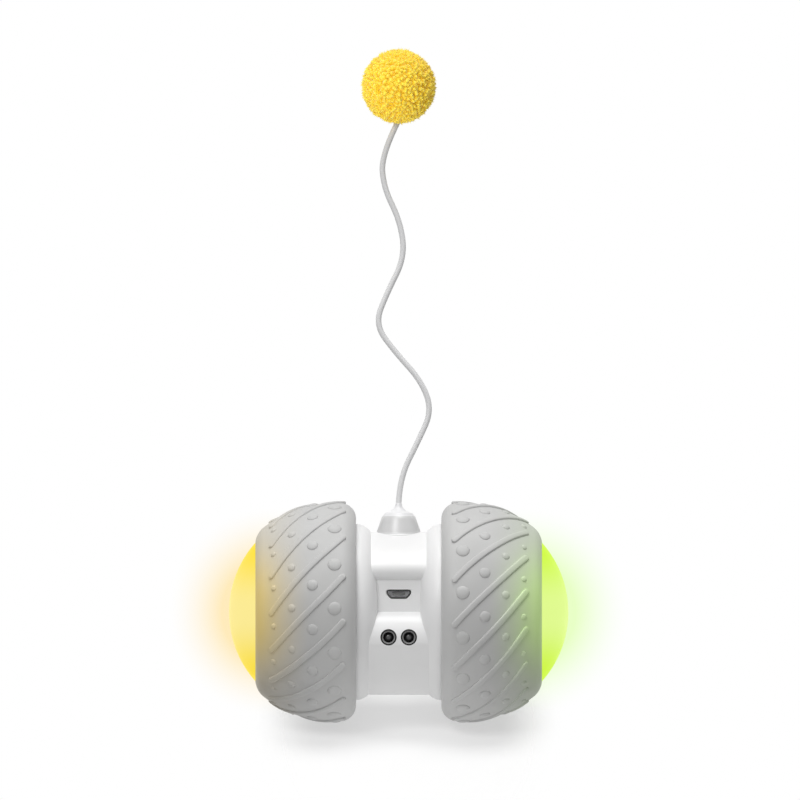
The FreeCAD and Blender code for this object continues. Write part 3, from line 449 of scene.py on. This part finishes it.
def add_dot(work, x, angle, diameter, height):
    # A shallow dome whose edge melts into the wall
    centre, out = tread_frame(x, math.radians(angle))
    along = Vector((1, 0, 0))
    along = (along - out * along.dot(out)).normalized()
    side = out.cross(along)
    half = diameter / 2
    rows = []
    for ring in range(1, dot_rings + 1):
        share = ring / dot_rings
        lift = height * (1 - share ** dot_flatness) - (dot_root if ring == dot_rings else 0.0)
        row = []
        for number in range(dot_sides):
            turn = 2 * math.pi * number / dot_sides
            flat = along * (math.cos(turn) * half * share) + side * (math.sin(turn) * half * share)
            sag = (flat.x ** 2 + flat.y ** 2 + flat.z ** 2) / (2 * crest_radius)
            spot = (centre + flat + out * (lift - sag * abs(math.sin(turn)))) * mm
            row.append(work.verts.new((spot.x, spot.y, spot.z)))
        rows.append(row)
    top = (centre + out * height) * mm
    tip = work.verts.new((top.x, top.y, top.z))
    for number in range(dot_sides):
        after = (number + 1) % dot_sides
        work.faces.new((tip, rows[0][number], rows[0][after]))
        for row, following in zip(rows, rows[1:]):
            work.faces.new((row[number], following[number], following[after], row[after]))
    work.faces.new(rows[-1])


def tread_unit():
    # One rib and the four dots beside it
    work = bmesh.new()
    add_rib(work)
    for column in dot_columns:
        add_dot(work, *column)
    bmesh.ops.recalc_face_normals(work, faces=work.faces)
    for face in work.faces:
        face.smooth = True
    return bpy.data.objects.new("tread unit", finished_mesh(work, "tread unit"))


def new_tree(name, inputs, output):
    # A Geometry Nodes tree with named inputs and one geometry to give out
    tree = bpy.data.node_groups.new(name, "GeometryNodeTree")
    for label, kind in inputs.items():
        tree.interface.new_socket(label, in_out="INPUT", socket_type="NodeSocket" + kind)
    tree.interface.new_socket(output, in_out="OUTPUT", socket_type="NodeSocketGeometry")
    return tree, tree.nodes.new("NodeGroupInput"), tree.nodes.new("NodeGroupOutput")


def repeat_round_tree():
    # Copies of one unit turned step by step round the axle line and joined to the bare wall
    tree, source, result = new_tree("tread round the tyre", {
        "Wall": "Geometry", "Unit": "Object", "Count": "Int", "Axle Height": "Float",
        "Silicone": "Material"}, "Tyre")
    nodes = tree.nodes
    spots = add_node(nodes, "GeometryNodeMeshLine", {"Offset": (0, 0, 0)})
    height = add_node(nodes, "ShaderNodeCombineXYZ")
    unit = add_node(nodes, "GeometryNodeObjectInfo")
    index = add_node(nodes, "GeometryNodeInputIndex")
    share = add_node(nodes, "ShaderNodeMath", operation="DIVIDE")
    turn = add_node(nodes, "ShaderNodeMath", {1: 2 * math.pi}, operation="MULTIPLY")
    rotation = add_node(nodes, "ShaderNodeCombineXYZ")
    copies = add_node(nodes, "GeometryNodeInstanceOnPoints")
    real = add_node(nodes, "GeometryNodeRealizeInstances")
    joined = add_node(nodes, "GeometryNodeJoinGeometry")
    coloured = add_node(nodes, "GeometryNodeSetMaterial")
    join(tree.links,
         (source, "Count", spots, "Count"), (source, "Axle Height", height, "Z"),
         (height, "Vector", spots, "Start Location"), (source, "Unit", unit, "Object"),
         (index, "Index", share, 0), (source, "Count", share, 1), (share, 0, turn, 0),
         (turn, 0, rotation, "X"), (spots, "Mesh", copies, "Points"),
         (unit, "Geometry", copies, "Instance"), (rotation, "Vector", copies, "Rotation"),
         (copies, "Instances", real, "Geometry"), (source, "Wall", joined, "Geometry"),
         (real, "Geometry", joined, "Geometry"), (joined, "Geometry", coloured, "Geometry"),
         (source, "Silicone", coloured, "Material"), (coloured, "Geometry", result, "Tyre"))
    return tree


def run_tree(name, start_mesh, tree, values):
    # Runs a Geometry Nodes tree once and returns its result as a plain mesh
    worker = placed(name, start_mesh)
    modifier = worker.modifiers.new("shape", "NODES")
    modifier.node_group = tree
    for item in tree.interface.items_tree:
        if item.item_type == "SOCKET" and item.in_out == "INPUT" and item.name in values:
            modifier[item.identifier] = values[item.name]
    bpy.context.view_layer.update()
    mesh = bpy.data.meshes.new_from_object(worker.evaluated_get(bpy.context.evaluated_depsgraph_get()))
    mesh.name = name
    bpy.data.objects.remove(worker)
    return mesh


def glow_rim_group():
    # Mask of the painted light from the dome on the tyre: 1 at the outer rim level with the lamps, fading
    # inboard from End to Start, and less above and below
    falloff, level_half, faint_half, faint_share = 1.6, 4 * mm, 27 * mm, 0.22
    group, source, result = new_group(
        "glow through the rim", {"Start": 28 * mm, "End": 45.5 * mm, "Level": 35 * mm}, ("Glow",))
    nodes = group.nodes
    place = add_node(nodes, "ShaderNodeTexCoord")
    split = add_node(nodes, "ShaderNodeSeparateXYZ")
    outward = add_node(nodes, "ShaderNodeMath", operation="ABSOLUTE")
    reach = add_node(nodes, "ShaderNodeMapRange")
    fall = add_node(nodes, "ShaderNodeMath", {1: falloff}, operation="POWER")
    rise = add_node(nodes, "ShaderNodeMath", operation="SUBTRACT")
    above = add_node(nodes, "ShaderNodeMath", operation="ABSOLUTE")
    band = add_node(
        nodes, "ShaderNodeMapRange",
        {"From Min": level_half, "From Max": faint_half, "To Min": 1.0, "To Max": faint_share},
        interpolation_type="SMOOTHSTEP")
    glow = add_node(nodes, "ShaderNodeMath", operation="MULTIPLY")
    join(group.links,
         (place, "Object", split, "Vector"), (split, "X", outward, 0), (outward, 0, reach, "Value"),
         (source, "Start", reach, "From Min"), (source, "End", reach, "From Max"),
         (reach, "Result", fall, 0), (split, "Z", rise, 0), (source, "Level", rise, 1),
         (rise, 0, above, 0), (above, 0, band, "Value"), (fall, 0, glow, 0),
         (band, "Result", glow, 1), (glow, 0, result, "Glow"))
    return group


glow_rim = glow_rim_group()


def silicone(name, painted_glow_colour):
    # Painted light: the rim's base colour is tinted with the dome's light, and the rim gives a little of
    # that light out as emission
    material, nodes, links, principled = new_material(
        name, {"Emission Strength": 0.12, "Sheen Weight": 0.15})
    skin = grain_skin(nodes, grain_size=2500.0, roughness=0.62)
    reach = add_node(nodes, "ShaderNodeGroup", {"Level": axle_z}, node_tree=glow_rim)
    body = add_node(nodes, "ShaderNodeMix",
                    {"A": (0.54, 0.54, 0.535, 1.0), "B": (0.51, 0.51, 0.505, 1.0)}, data_type="RGBA")
    painted_rim_light = add_node(nodes, "ShaderNodeMix", {"B": (*painted_glow_colour, 1.0)}, data_type="RGBA")
    painted_rim_glow = add_node(nodes, "ShaderNodeMix", {"A": (0.0, 0.0, 0.0, 1.0), "B": (*painted_glow_colour, 1.0)},
                     data_type="RGBA")
    join(links,
         (skin, "Marks", body, "Factor"), (body, "Result", painted_rim_light, "A"), (reach, "Glow", painted_rim_light, "Factor"),
         (painted_rim_light, "Result", principled, "Base Color"), (reach, "Glow", painted_rim_glow, "Factor"),
         (painted_rim_glow, "Result", principled, "Emission Color"))
    grain_finish(nodes, links, skin, principled, strength=0.06, distance=0.1 * mm)
    return material


tyre_silicones = {
    "left": silicone("grey silicone lit yellow", (0.78, 0.59, 0.18)),
    "right": silicone("grey silicone lit green", (0.62, 0.88, 0.32)),
}
wall_mesh = tyre_wall_mesh()
unit_object = tread_unit()
tread_tree = repeat_round_tree()
for side in ("right", "left"):
    tyre_mesh = run_tree("tyre_" + side + "_silicone", wall_mesh, tread_tree, {
        "Unit": unit_object, "Count": tread_count, "Axle Height": axle_z, "Silicone": tyre_silicones[side]})
    if side == "left":
        tyre_mesh.transform(Matrix.Rotation(math.pi, 4, "Z"))
    seated_piece("tyre_" + side + "_silicone", tyre_mesh, "wheel_" + side, "tyre_" + side)
bpy.data.objects.remove(unit_object)


# Domes: thin caps of frosted plastic, tinted yellow and green. Their glow is painted light: emission on the
# caps stands in for the light of the lamp rings inside, palest level with the lamps and deeper towards the
# top and the bottom edge.
def lit_dome(name, pale, deep, frosting):
    pale_half, deep_half, mark_depth = 2 * mm, 21.5 * mm, 0.85
    material, nodes, links, principled = new_material(
        name, {"Emission Strength": 0.92, "Specular IOR Level": 0.02})
    place = add_node(nodes, "ShaderNodeTexCoord")
    centred = add_node(nodes, "ShaderNodeMapping", {"Location": (0, 0, -axle_z)})
    split = add_node(nodes, "ShaderNodeSeparateXYZ")
    rise = add_node(nodes, "ShaderNodeMath", operation="ABSOLUTE")
    # Painted light: the glow runs from the pale colour level with the lamps to the deep colour above and
    # below.
    ramp = add_node(nodes, "ShaderNodeMapRange", {"From Min": pale_half, "From Max": deep_half},
                    interpolation_type="SMOOTHSTEP")
    painted_glow = add_node(nodes, "ShaderNodeMix", {"A": (*pale, 1.0), "B": (*deep, 1.0)}, data_type="RGBA")
    skin = grain_skin(nodes, grain_size=3000.0, roughness=0.45)
    marked = tuple(mark_depth * value for value in frosting)
    frost = add_node(nodes, "ShaderNodeMix", {"A": (*frosting, 1.0), "B": (*marked, 1.0)},
                     data_type="RGBA")
    join(links,
         (place, "Object", centred, "Vector"), (centred, "Vector", split, "Vector"),
         (split, "Z", rise, 0), (rise, 0, ramp, "Value"), (ramp, "Result", painted_glow, "Factor"),
         (painted_glow, "Result", principled, "Emission Color"), (skin, "Marks", frost, "Factor"),
         (frost, "Result", principled, "Base Color"), (skin, "Roughness", principled, "Roughness"))
    return material


yellow_dome = lit_dome("yellow frosted dome", (0.99, 0.85, 0.31), (0.98, 0.75, 0.03), (0.10, 0.075, 0.012))
green_dome = lit_dome("green frosted dome", (0.78, 0.99, 0.29), (0.63, 0.95, 0.03), (0.055, 0.10, 0.012))
smooth_twin("dome_left", "wheel_left", yellow_dome)
smooth_twin("dome_right", "wheel_right", green_dome)

# Wand plug: a white trumpet of soft plastic moulded round the end of the cord, pressed into the socket.
# It pulls straight up out of its bore.
wand_plastic = moulded_plastic("white wand plastic", (0.84, 0.84, 0.85), (0.8, 0.8, 0.81), 0.35)
smooth_twin("wand_plug", "wand", wand_plastic)

# Wand cord: a springy steel core in a white plastic sleeve, 1.8 mm thick and seen from end to end.
# It springs up from the plug in two uneven waves and ends inside the pompom. Its route is given in
# millimetres from the middle of the axle line, to the side and up.
cord_radius = 0.9
cord_route = (
    (0.0, 34.9), (0.4, 43.0), (6.15, 54.5), (10.7, 64.5), (7.2, 74.0), (-1.0, 83.0), (-7.65, 92.0),
    (-3.8, 102.0), (2.0, 113.5), (0.5, 125.0), (-4.9, 136.0), (-5.5, 146.5), (0.1, 157.6))
cord_curve = bpy.data.curves.new("wand_cord_sleeve", "CURVE")
cord_curve.dimensions = "3D"
cord_curve.bevel_depth = cord_radius * mm
cord_curve.bevel_resolution = 6
cord_curve.resolution_u = 16
cord_curve.use_fill_caps = True
cord_line = cord_curve.splines.new("NURBS")
cord_line.points.add(len(cord_route) - 1)
for spot, (x, z) in zip(cord_line.points, cord_route):
    spot.co = (x * mm, 0.0, axle_z + z * mm, 1.0)
cord_line.order_u = 3
cord_line.use_endpoint_u = True
cord_line.use_smooth = True
sleeve_plastic = moulded_plastic(
    "white cord sleeve", (0.80, 0.80, 0.805), (0.78, 0.78, 0.785), 0.45,
    grain_size=2000.0, grain_depth=0.01)
cord_curve.materials.append(sleeve_plastic)
wand_cord = seated_piece("wand_cord_sleeve", cord_curve, "wand", "wand_cord")

# Pompom: cut ends of yellow chenille yarn tied tightly round the cord and clipped to a ball.
# The ends bunch into clumps about a millimetre across, and single fibres stand out of them as a soft fuzz.
pompom_centre = (0.0, 0.0, axle_z + 168.2 * mm)
pile_radius, clump_depth, clump_scale = 12.25 * mm, 1.5 * mm, 900.0
clump_wander = 0.5 * mm
fibre_length, fibre_radius, fibre_density = 1.2 * mm, 0.08 * mm, 4.6e6
fibre_sides, fibre_bend, fibre_tip_bend, fibre_seed = 3, 0.3, 0.35, 7
fibre_sink, fibre_lean, fibre_turn = 0.6 * mm, 0.5, 3.14
fibre_smallest, fibre_largest = (0.8, 0.8, 0.7), (1.2, 1.2, 1.15)


def fibre_object():
    # One hair: three-sided, bent over a little and drawn to a fine tip
    work = bmesh.new()
    rows = []
    for share, size in ((0.0, 1.0), (0.55, 0.8)):
        bend = fibre_bend * fibre_length * share ** 2
        rows.append([work.verts.new((
            bend + math.cos(2 * math.pi * number / fibre_sides) * fibre_radius * size,
            math.sin(2 * math.pi * number / fibre_sides) * fibre_radius * size,
            fibre_length * share)) for number in range(fibre_sides)])
    tip = work.verts.new((fibre_tip_bend * fibre_length, 0.0, fibre_length))
    for number in range(fibre_sides):
        after = (number + 1) % fibre_sides
        work.faces.new((rows[0][number], rows[0][after], rows[1][after], rows[1][number]))
        work.faces.new((rows[1][number], rows[1][after], tip))
    work.faces.new(rows[0][::-1])
    return bpy.data.objects.new("yarn fibre", finished_mesh(work, "yarn fibre"))


def pompom_tree():
    # A ball sunk between its clumps by a cell pattern, with fibres scattered over it
    tree, source, result = new_tree("clipped yarn ball", {
        "Start": "Geometry", "Fibre": "Object", "Pile Radius": "Float", "Clump Depth": "Float",
        "Clump Scale": "Float", "Density": "Float", "Centre": "Vector", "Seed": "Int",
        "Yarn": "Material"}, "Pompom")
    nodes = tree.nodes
    ball = add_node(nodes, "GeometryNodeMeshIcoSphere", {"Subdivisions": 7})
    place = add_node(nodes, "GeometryNodeInputPosition")
    wander = add_node(nodes, "ShaderNodeTexNoise", {"Detail": 1.0})
    stray = add_node(nodes, "ShaderNodeVectorMath", {1: (clump_wander,) * 3}, operation="MULTIPLY_ADD")
    cells = add_node(nodes, "ShaderNodeTexVoronoi")
    outward = add_node(nodes, "ShaderNodeVectorMath", operation="NORMALIZE")
    inward = add_node(nodes, "ShaderNodeMath", {1: -1.0}, operation="MULTIPLY")
    depth = add_node(nodes, "ShaderNodeMath", operation="MULTIPLY")
    offset = add_node(nodes, "ShaderNodeVectorMath", operation="SCALE")
    clumped = add_node(nodes, "GeometryNodeSetPosition")
    smooth = add_node(nodes, "GeometryNodeSetShadeSmooth")
    scatter = add_node(nodes, "GeometryNodeDistributePointsOnFaces")
    fibre = add_node(nodes, "GeometryNodeObjectInfo")
    copies = add_node(nodes, "GeometryNodeInstanceOnPoints")
    sink = add_node(nodes, "GeometryNodeTranslateInstances", {"Translation": (0, 0, -fibre_sink)})
    lean = add_node(nodes, "FunctionNodeRandomValue", {
        "Min": (-fibre_lean, -fibre_lean, -fibre_turn), "Max": (fibre_lean, fibre_lean, fibre_turn)},
        data_type="FLOAT_VECTOR")
    leaned = add_node(nodes, "GeometryNodeRotateInstances")
    length = add_node(nodes, "FunctionNodeRandomValue", {"Min": fibre_smallest, "Max": fibre_largest},
                      data_type="FLOAT_VECTOR")
    sized = add_node(nodes, "GeometryNodeScaleInstances")
    real = add_node(nodes, "GeometryNodeRealizeInstances")
    joined = add_node(nodes, "GeometryNodeJoinGeometry")
    moved = add_node(nodes, "GeometryNodeTransform")
    coloured = add_node(nodes, "GeometryNodeSetMaterial")
    join(tree.links,
         (source, "Pile Radius", ball, "Radius"), (source, "Clump Scale", wander, "Scale"),
         (wander, "Color", stray, 0), (place, "Position", stray, 2), (stray, "Vector", cells, "Vector"),
         (source, "Clump Scale", cells, "Scale"), (place, "Position", outward, 0),
         (cells, "Distance", inward, 0), (inward, 0, depth, 0), (source, "Clump Depth", depth, 1),
         (outward, "Vector", offset, 0), (depth, 0, offset, "Scale"),
         (ball, "Mesh", clumped, "Geometry"), (offset, "Vector", clumped, "Offset"),
         (clumped, "Geometry", smooth, "Geometry"), (clumped, "Geometry", scatter, "Mesh"),
         (source, "Density", scatter, "Density"), (source, "Seed", scatter, "Seed"),
         (source, "Fibre", fibre, "Object"), (scatter, "Points", copies, "Points"),
         (fibre, "Geometry", copies, "Instance"), (scatter, "Rotation", copies, "Rotation"),
         (copies, "Instances", sink, "Instances"), (source, "Seed", lean, "Seed"),
         (sink, "Instances", leaned, "Instances"), (lean, "Value", leaned, "Rotation"),
         (source, "Seed", length, "Seed"), (leaned, "Instances", sized, "Instances"),
         (length, "Value", sized, "Scale"), (sized, "Instances", real, "Geometry"),
         (smooth, "Geometry", joined, "Geometry"), (real, "Geometry", joined, "Geometry"),
         (joined, "Geometry", moved, "Geometry"), (source, "Centre", moved, "Translation"),
         (moved, "Geometry", coloured, "Geometry"), (source, "Yarn", coloured, "Material"),
         (coloured, "Geometry", result, "Pompom"))
    return tree


def yarn_material():
    # Painted shade: the colour is deeper between the clumps and paler at the ends of the fibres. Painted
    # light: the yarn gives out a little of its own colour as emission.
    shaded_share = 0.7
    material, nodes, links, principled = new_material("yellow chenille yarn", {
        "Roughness": 0.9, "Sheen Weight": 1.0, "Sheen Tint": (1.0, 0.98, 0.75, 1.0),
        "Specular IOR Level": 0.15, "Emission Strength": 0.12})
    place = add_node(nodes, "ShaderNodeTexCoord")
    centred = add_node(nodes, "ShaderNodeMapping", {"Location": tuple(-value for value in pompom_centre)})
    reach = add_node(nodes, "ShaderNodeVectorMath", operation="LENGTH")
    tip = add_node(nodes, "ShaderNodeMapRange", {
        "From Min": pile_radius - shaded_share * clump_depth, "From Max": pile_radius})
    # Painted shade: deeper colour where the surface lies down between the clumps.
    depth = add_node(nodes, "ShaderNodeMix", {
        "A": (0.78, 0.49, 0.006, 1.0), "B": (0.91, 0.80, 0.085, 1.0)}, data_type="RGBA")
    patch = add_node(nodes, "ShaderNodeTexNoise", {"Scale": clump_scale})
    varied = add_node(nodes, "ShaderNodeMix", {"B": (0.94, 0.9, 0.78, 1.0)},
                      data_type="RGBA", blend_type="MULTIPLY")
    join(links,
         (place, "Object", centred, "Vector"), (place, "Object", patch, "Vector"),
         (centred, "Vector", reach, 0), (reach, "Value", tip, "Value"), (tip, "Result", depth, "Factor"),
         (depth, "Result", varied, "A"), (patch, "Fac", varied, "Factor"),
         (varied, "Result", principled, "Base Color"), (varied, "Result", principled, "Emission Color"))
    return material


fibre = fibre_object()
pompom_mesh = run_tree("pompom_yarn", bpy.data.meshes.new("pompom start"), pompom_tree(), {
    "Fibre": fibre, "Pile Radius": pile_radius, "Clump Depth": clump_depth, "Clump Scale": clump_scale,
    "Density": fibre_density, "Centre": pompom_centre, "Seed": fibre_seed,
    "Yarn": yarn_material()})
bpy.data.objects.remove(fibre)
pompom = seated_piece("pompom_yarn", pompom_mesh, "wand", "pompom")


# Floor: a plain white sheet that slopes gently down to the camera, so that the soft shadow under the
# tyres can be seen from a camera level with the axle. It clears the tyres by a hair just behind their
# lowest line, fades out at its edge and is open from below.
def floor():
    half_side, slope, gap = 300 * mm, math.radians(15), 0.1 * mm
    fade_start, fade_end, narrowing, shift = 110 * mm, 200 * mm, 4.0, -12 * mm
    corners = [(-half_side, -half_side, 0), (half_side, -half_side, 0), (half_side, half_side, 0),
               (-half_side, half_side, 0)]
    mesh = bpy.data.meshes.new("floor")
    mesh.from_pydata(corners, [], [(0, 1, 2, 3)])
    sheet = placed("floor", mesh)
    sheet.rotation_euler = (slope, 0, 0)
    sheet.location.z = -axle_z * (1 / math.cos(slope) - 1) - gap
    material, nodes, links, output = bare_material("white floor")
    matt = add_node(nodes, "ShaderNodeBsdfDiffuse", {"Color": (0.50, 0.50, 0.50, 1.0)})
    lift = add_node(nodes, "ShaderNodeEmission", {"Color": (1, 1, 1, 1), "Strength": 0.45})
    surface = add_node(nodes, "ShaderNodeAddShader")
    place = add_node(nodes, "ShaderNodeTexCoord")
    narrowed = add_node(nodes, "ShaderNodeMapping", {
        "Scale": (narrowing, 1.0, 1.0), "Location": (shift, 0.0, 0.0)})
    away = add_node(nodes, "ShaderNodeVectorMath", operation="LENGTH")
    fade = add_node(nodes, "ShaderNodeMapRange", {"From Min": fade_start, "From Max": fade_end},
                    interpolation_type="SMOOTHSTEP")
    below = add_node(nodes, "ShaderNodeNewGeometry")
    open_share = add_node(nodes, "ShaderNodeMath", operation="MAXIMUM")
    clear = add_node(nodes, "ShaderNodeBsdfTransparent")
    mixed = add_node(nodes, "ShaderNodeMixShader")
    join(links,
         (matt, 0, surface, 0), (lift, 0, surface, 1), (place, "Object", narrowed, "Vector"),
         (narrowed, "Vector", away, 0), (away, "Value", fade, "Value"), (fade, "Result", open_share, 0),
         (below, "Backfacing", open_share, 1), (open_share, 0, mixed, "Fac"), (surface, 0, mixed, 1),
         (clear, 0, mixed, 2), (mixed, 0, output, "Surface"))
    mesh.materials.append(material)


floor()


# Halos: the glow that each lit dome throws into the air, as a clear tinted disc that stands behind the dome
# and faces the front or the back. It only tints the background seen through it, and stops no light.
def halo(name, middle_x, middle_y, tint):
    outer, inner, falloff = 34 * mm, 17 * mm, 1.6
    turn = math.copysign(math.pi / 2, middle_y)
    work = bmesh.new()
    bmesh.ops.create_circle(
        work, cap_ends=True, segments=64, radius=outer,
        matrix=Matrix.Translation((middle_x, middle_y, axle_z)) @ Matrix.Rotation(turn, 4, "X"))
    mesh = finished_mesh(work, name)
    disc = placed(name, mesh)
    material, nodes, links, output = bare_material(name)
    film = add_node(nodes, "ShaderNodeBsdfTransparent")
    place = add_node(nodes, "ShaderNodeTexCoord")
    centred = add_node(nodes, "ShaderNodeMapping", {"Location": (-middle_x, -middle_y, -axle_z)})
    away = add_node(nodes, "ShaderNodeVectorMath", operation="LENGTH")
    reach = add_node(nodes, "ShaderNodeMapRange", {"From Min": outer, "From Max": inner})
    fall = add_node(nodes, "ShaderNodeMath", {1: falloff}, operation="POWER")
    path = add_node(nodes, "ShaderNodeLightPath")
    behind = add_node(nodes, "ShaderNodeNewGeometry")
    faced = add_node(nodes, "ShaderNodeMath", operation="SUBTRACT", use_clamp=True)
    share = add_node(nodes, "ShaderNodeMath", operation="MULTIPLY")
    glow = add_node(nodes, "ShaderNodeMix", {"A": (1, 1, 1, 1), "B": (*tint, 1.0)}, data_type="RGBA")
    join(links,
         (place, "Object", centred, "Vector"), (centred, "Vector", away, 0), (away, "Value", reach, "Value"),
         (reach, "Result", fall, 0), (path, "Is Camera Ray", faced, 0), (behind, "Backfacing", faced, 1),
         (fall, 0, share, 0), (faced, 0, share, 1), (share, 0, glow, "Factor"),
         (glow, "Result", film, "Color"), (film, 0, output, "Surface"))
    mesh.materials.append(material)


halo_x, halo_y = 39.6 * mm, 24 * mm
for facing, middle_y in (("front", halo_y), ("back", -halo_y)):
    halo("yellow halo " + facing, -halo_x, middle_y, (1.0, 0.83, 0.50))
    halo("green halo " + facing, halo_x, middle_y, (0.81, 1.0, 0.57))


# Light: an even pale room, a little brighter above, and one broad soft box nearly overhead. A narrower box
# at the front left draws the upright gleam on the socket, and a low one at the left lights the pompom alone.
def background_rays(nodes, links):
    # 1 for what the eye sees itself, in a polished surface or through glass
    path = nodes.new("ShaderNodeLightPath")
    seen = path.outputs["Is Camera Ray"]
    for label in ("Is Glossy Ray", "Is Transmission Ray"):
        either = add_node(nodes, "ShaderNodeMath", operation="MAXIMUM")
        links.new(seen, either.inputs[0])
        links.new(path.outputs[label], either.inputs[1])
        seen = either.outputs[0]
    return seen


def room():
    low_strength, high_strength = 0.30, 0.56
    world = bpy.data.worlds.new("pale room")
    scene.world = world
    world.use_nodes = True
    nodes, links = world.node_tree.nodes, world.node_tree.links
    nodes.clear()
    output = add_node(nodes, "ShaderNodeOutputWorld")
    white = add_node(nodes, "ShaderNodeBackground", {"Color": (1, 1, 1, 1)})
    lighting = add_node(nodes, "ShaderNodeBackground")
    place = add_node(nodes, "ShaderNodeTexCoord")
    split = add_node(nodes, "ShaderNodeSeparateXYZ")
    rise = add_node(nodes, "ShaderNodeMapRange", {
        "From Min": -1.0, "From Max": 1.0, "To Min": low_strength, "To Max": high_strength})
    mixed = add_node(nodes, "ShaderNodeMixShader")
    links.new(background_rays(nodes, links), mixed.inputs["Fac"])
    join(links,
         (place, "Generated", split, "Vector"), (split, "Z", rise, "Value"),
         (rise, "Result", lighting, "Strength"), (lighting, 0, mixed, 1), (white, 0, mixed, 2),
         (mixed, 0, output, "Surface"))


def soft_box(name, location, target, size, power):
    lamp = bpy.data.lights.new(name, "AREA")
    lamp.shape = "RECTANGLE"
    lamp.size, lamp.size_y = size
    lamp.energy = power
    holder = placed(name, lamp)
    holder.location = location
    aim = Vector(target) - Vector(location)
    holder.rotation_euler = aim.to_track_quat("-Z", "Y").to_euler()
    return holder


room()
soft_box("overhead box", location=(0.02, -0.15, 0.95), target=(0, 0, 0.04), size=(0.5, 0.5), power=4.4)
soft_box("gleam box", location=(-0.22, -0.55, 0.48), target=(0, 0, 0.06), size=(0.26, 0.3), power=1.75)
pompom_box = soft_box("pompom box", location=(-0.13, -0.17, 0.02), target=pompom_centre,
                      size=(0.12, 0.12), power=0.5)
lit_alone = bpy.data.collections.new("lit by the pompom box")
lit_alone.objects.link(pompom)
pompom_box.light_linking.receiver_collection = lit_alone

# Camera: level and square to the front, drawn without perspective because the photograph shows none.
# Its frame puts the toy at the place and the size that it has in the photograph.
frame_side, camera_away = 256 * mm, 800 * mm
frame_middle_x, frame_middle_rise = 0.42 * mm, 67.84 * mm
camera_data = bpy.data.cameras.new("front camera")
camera_data.type = "ORTHO"
camera_data.ortho_scale = frame_side
camera = placed("front camera", camera_data)
camera.location = (frame_middle_x, -camera_away, axle_z + frame_middle_rise)
camera.rotation_euler = (math.pi / 2, 0, 0)
scene.camera = camera
scene.view_settings.view_transform = "Standard"
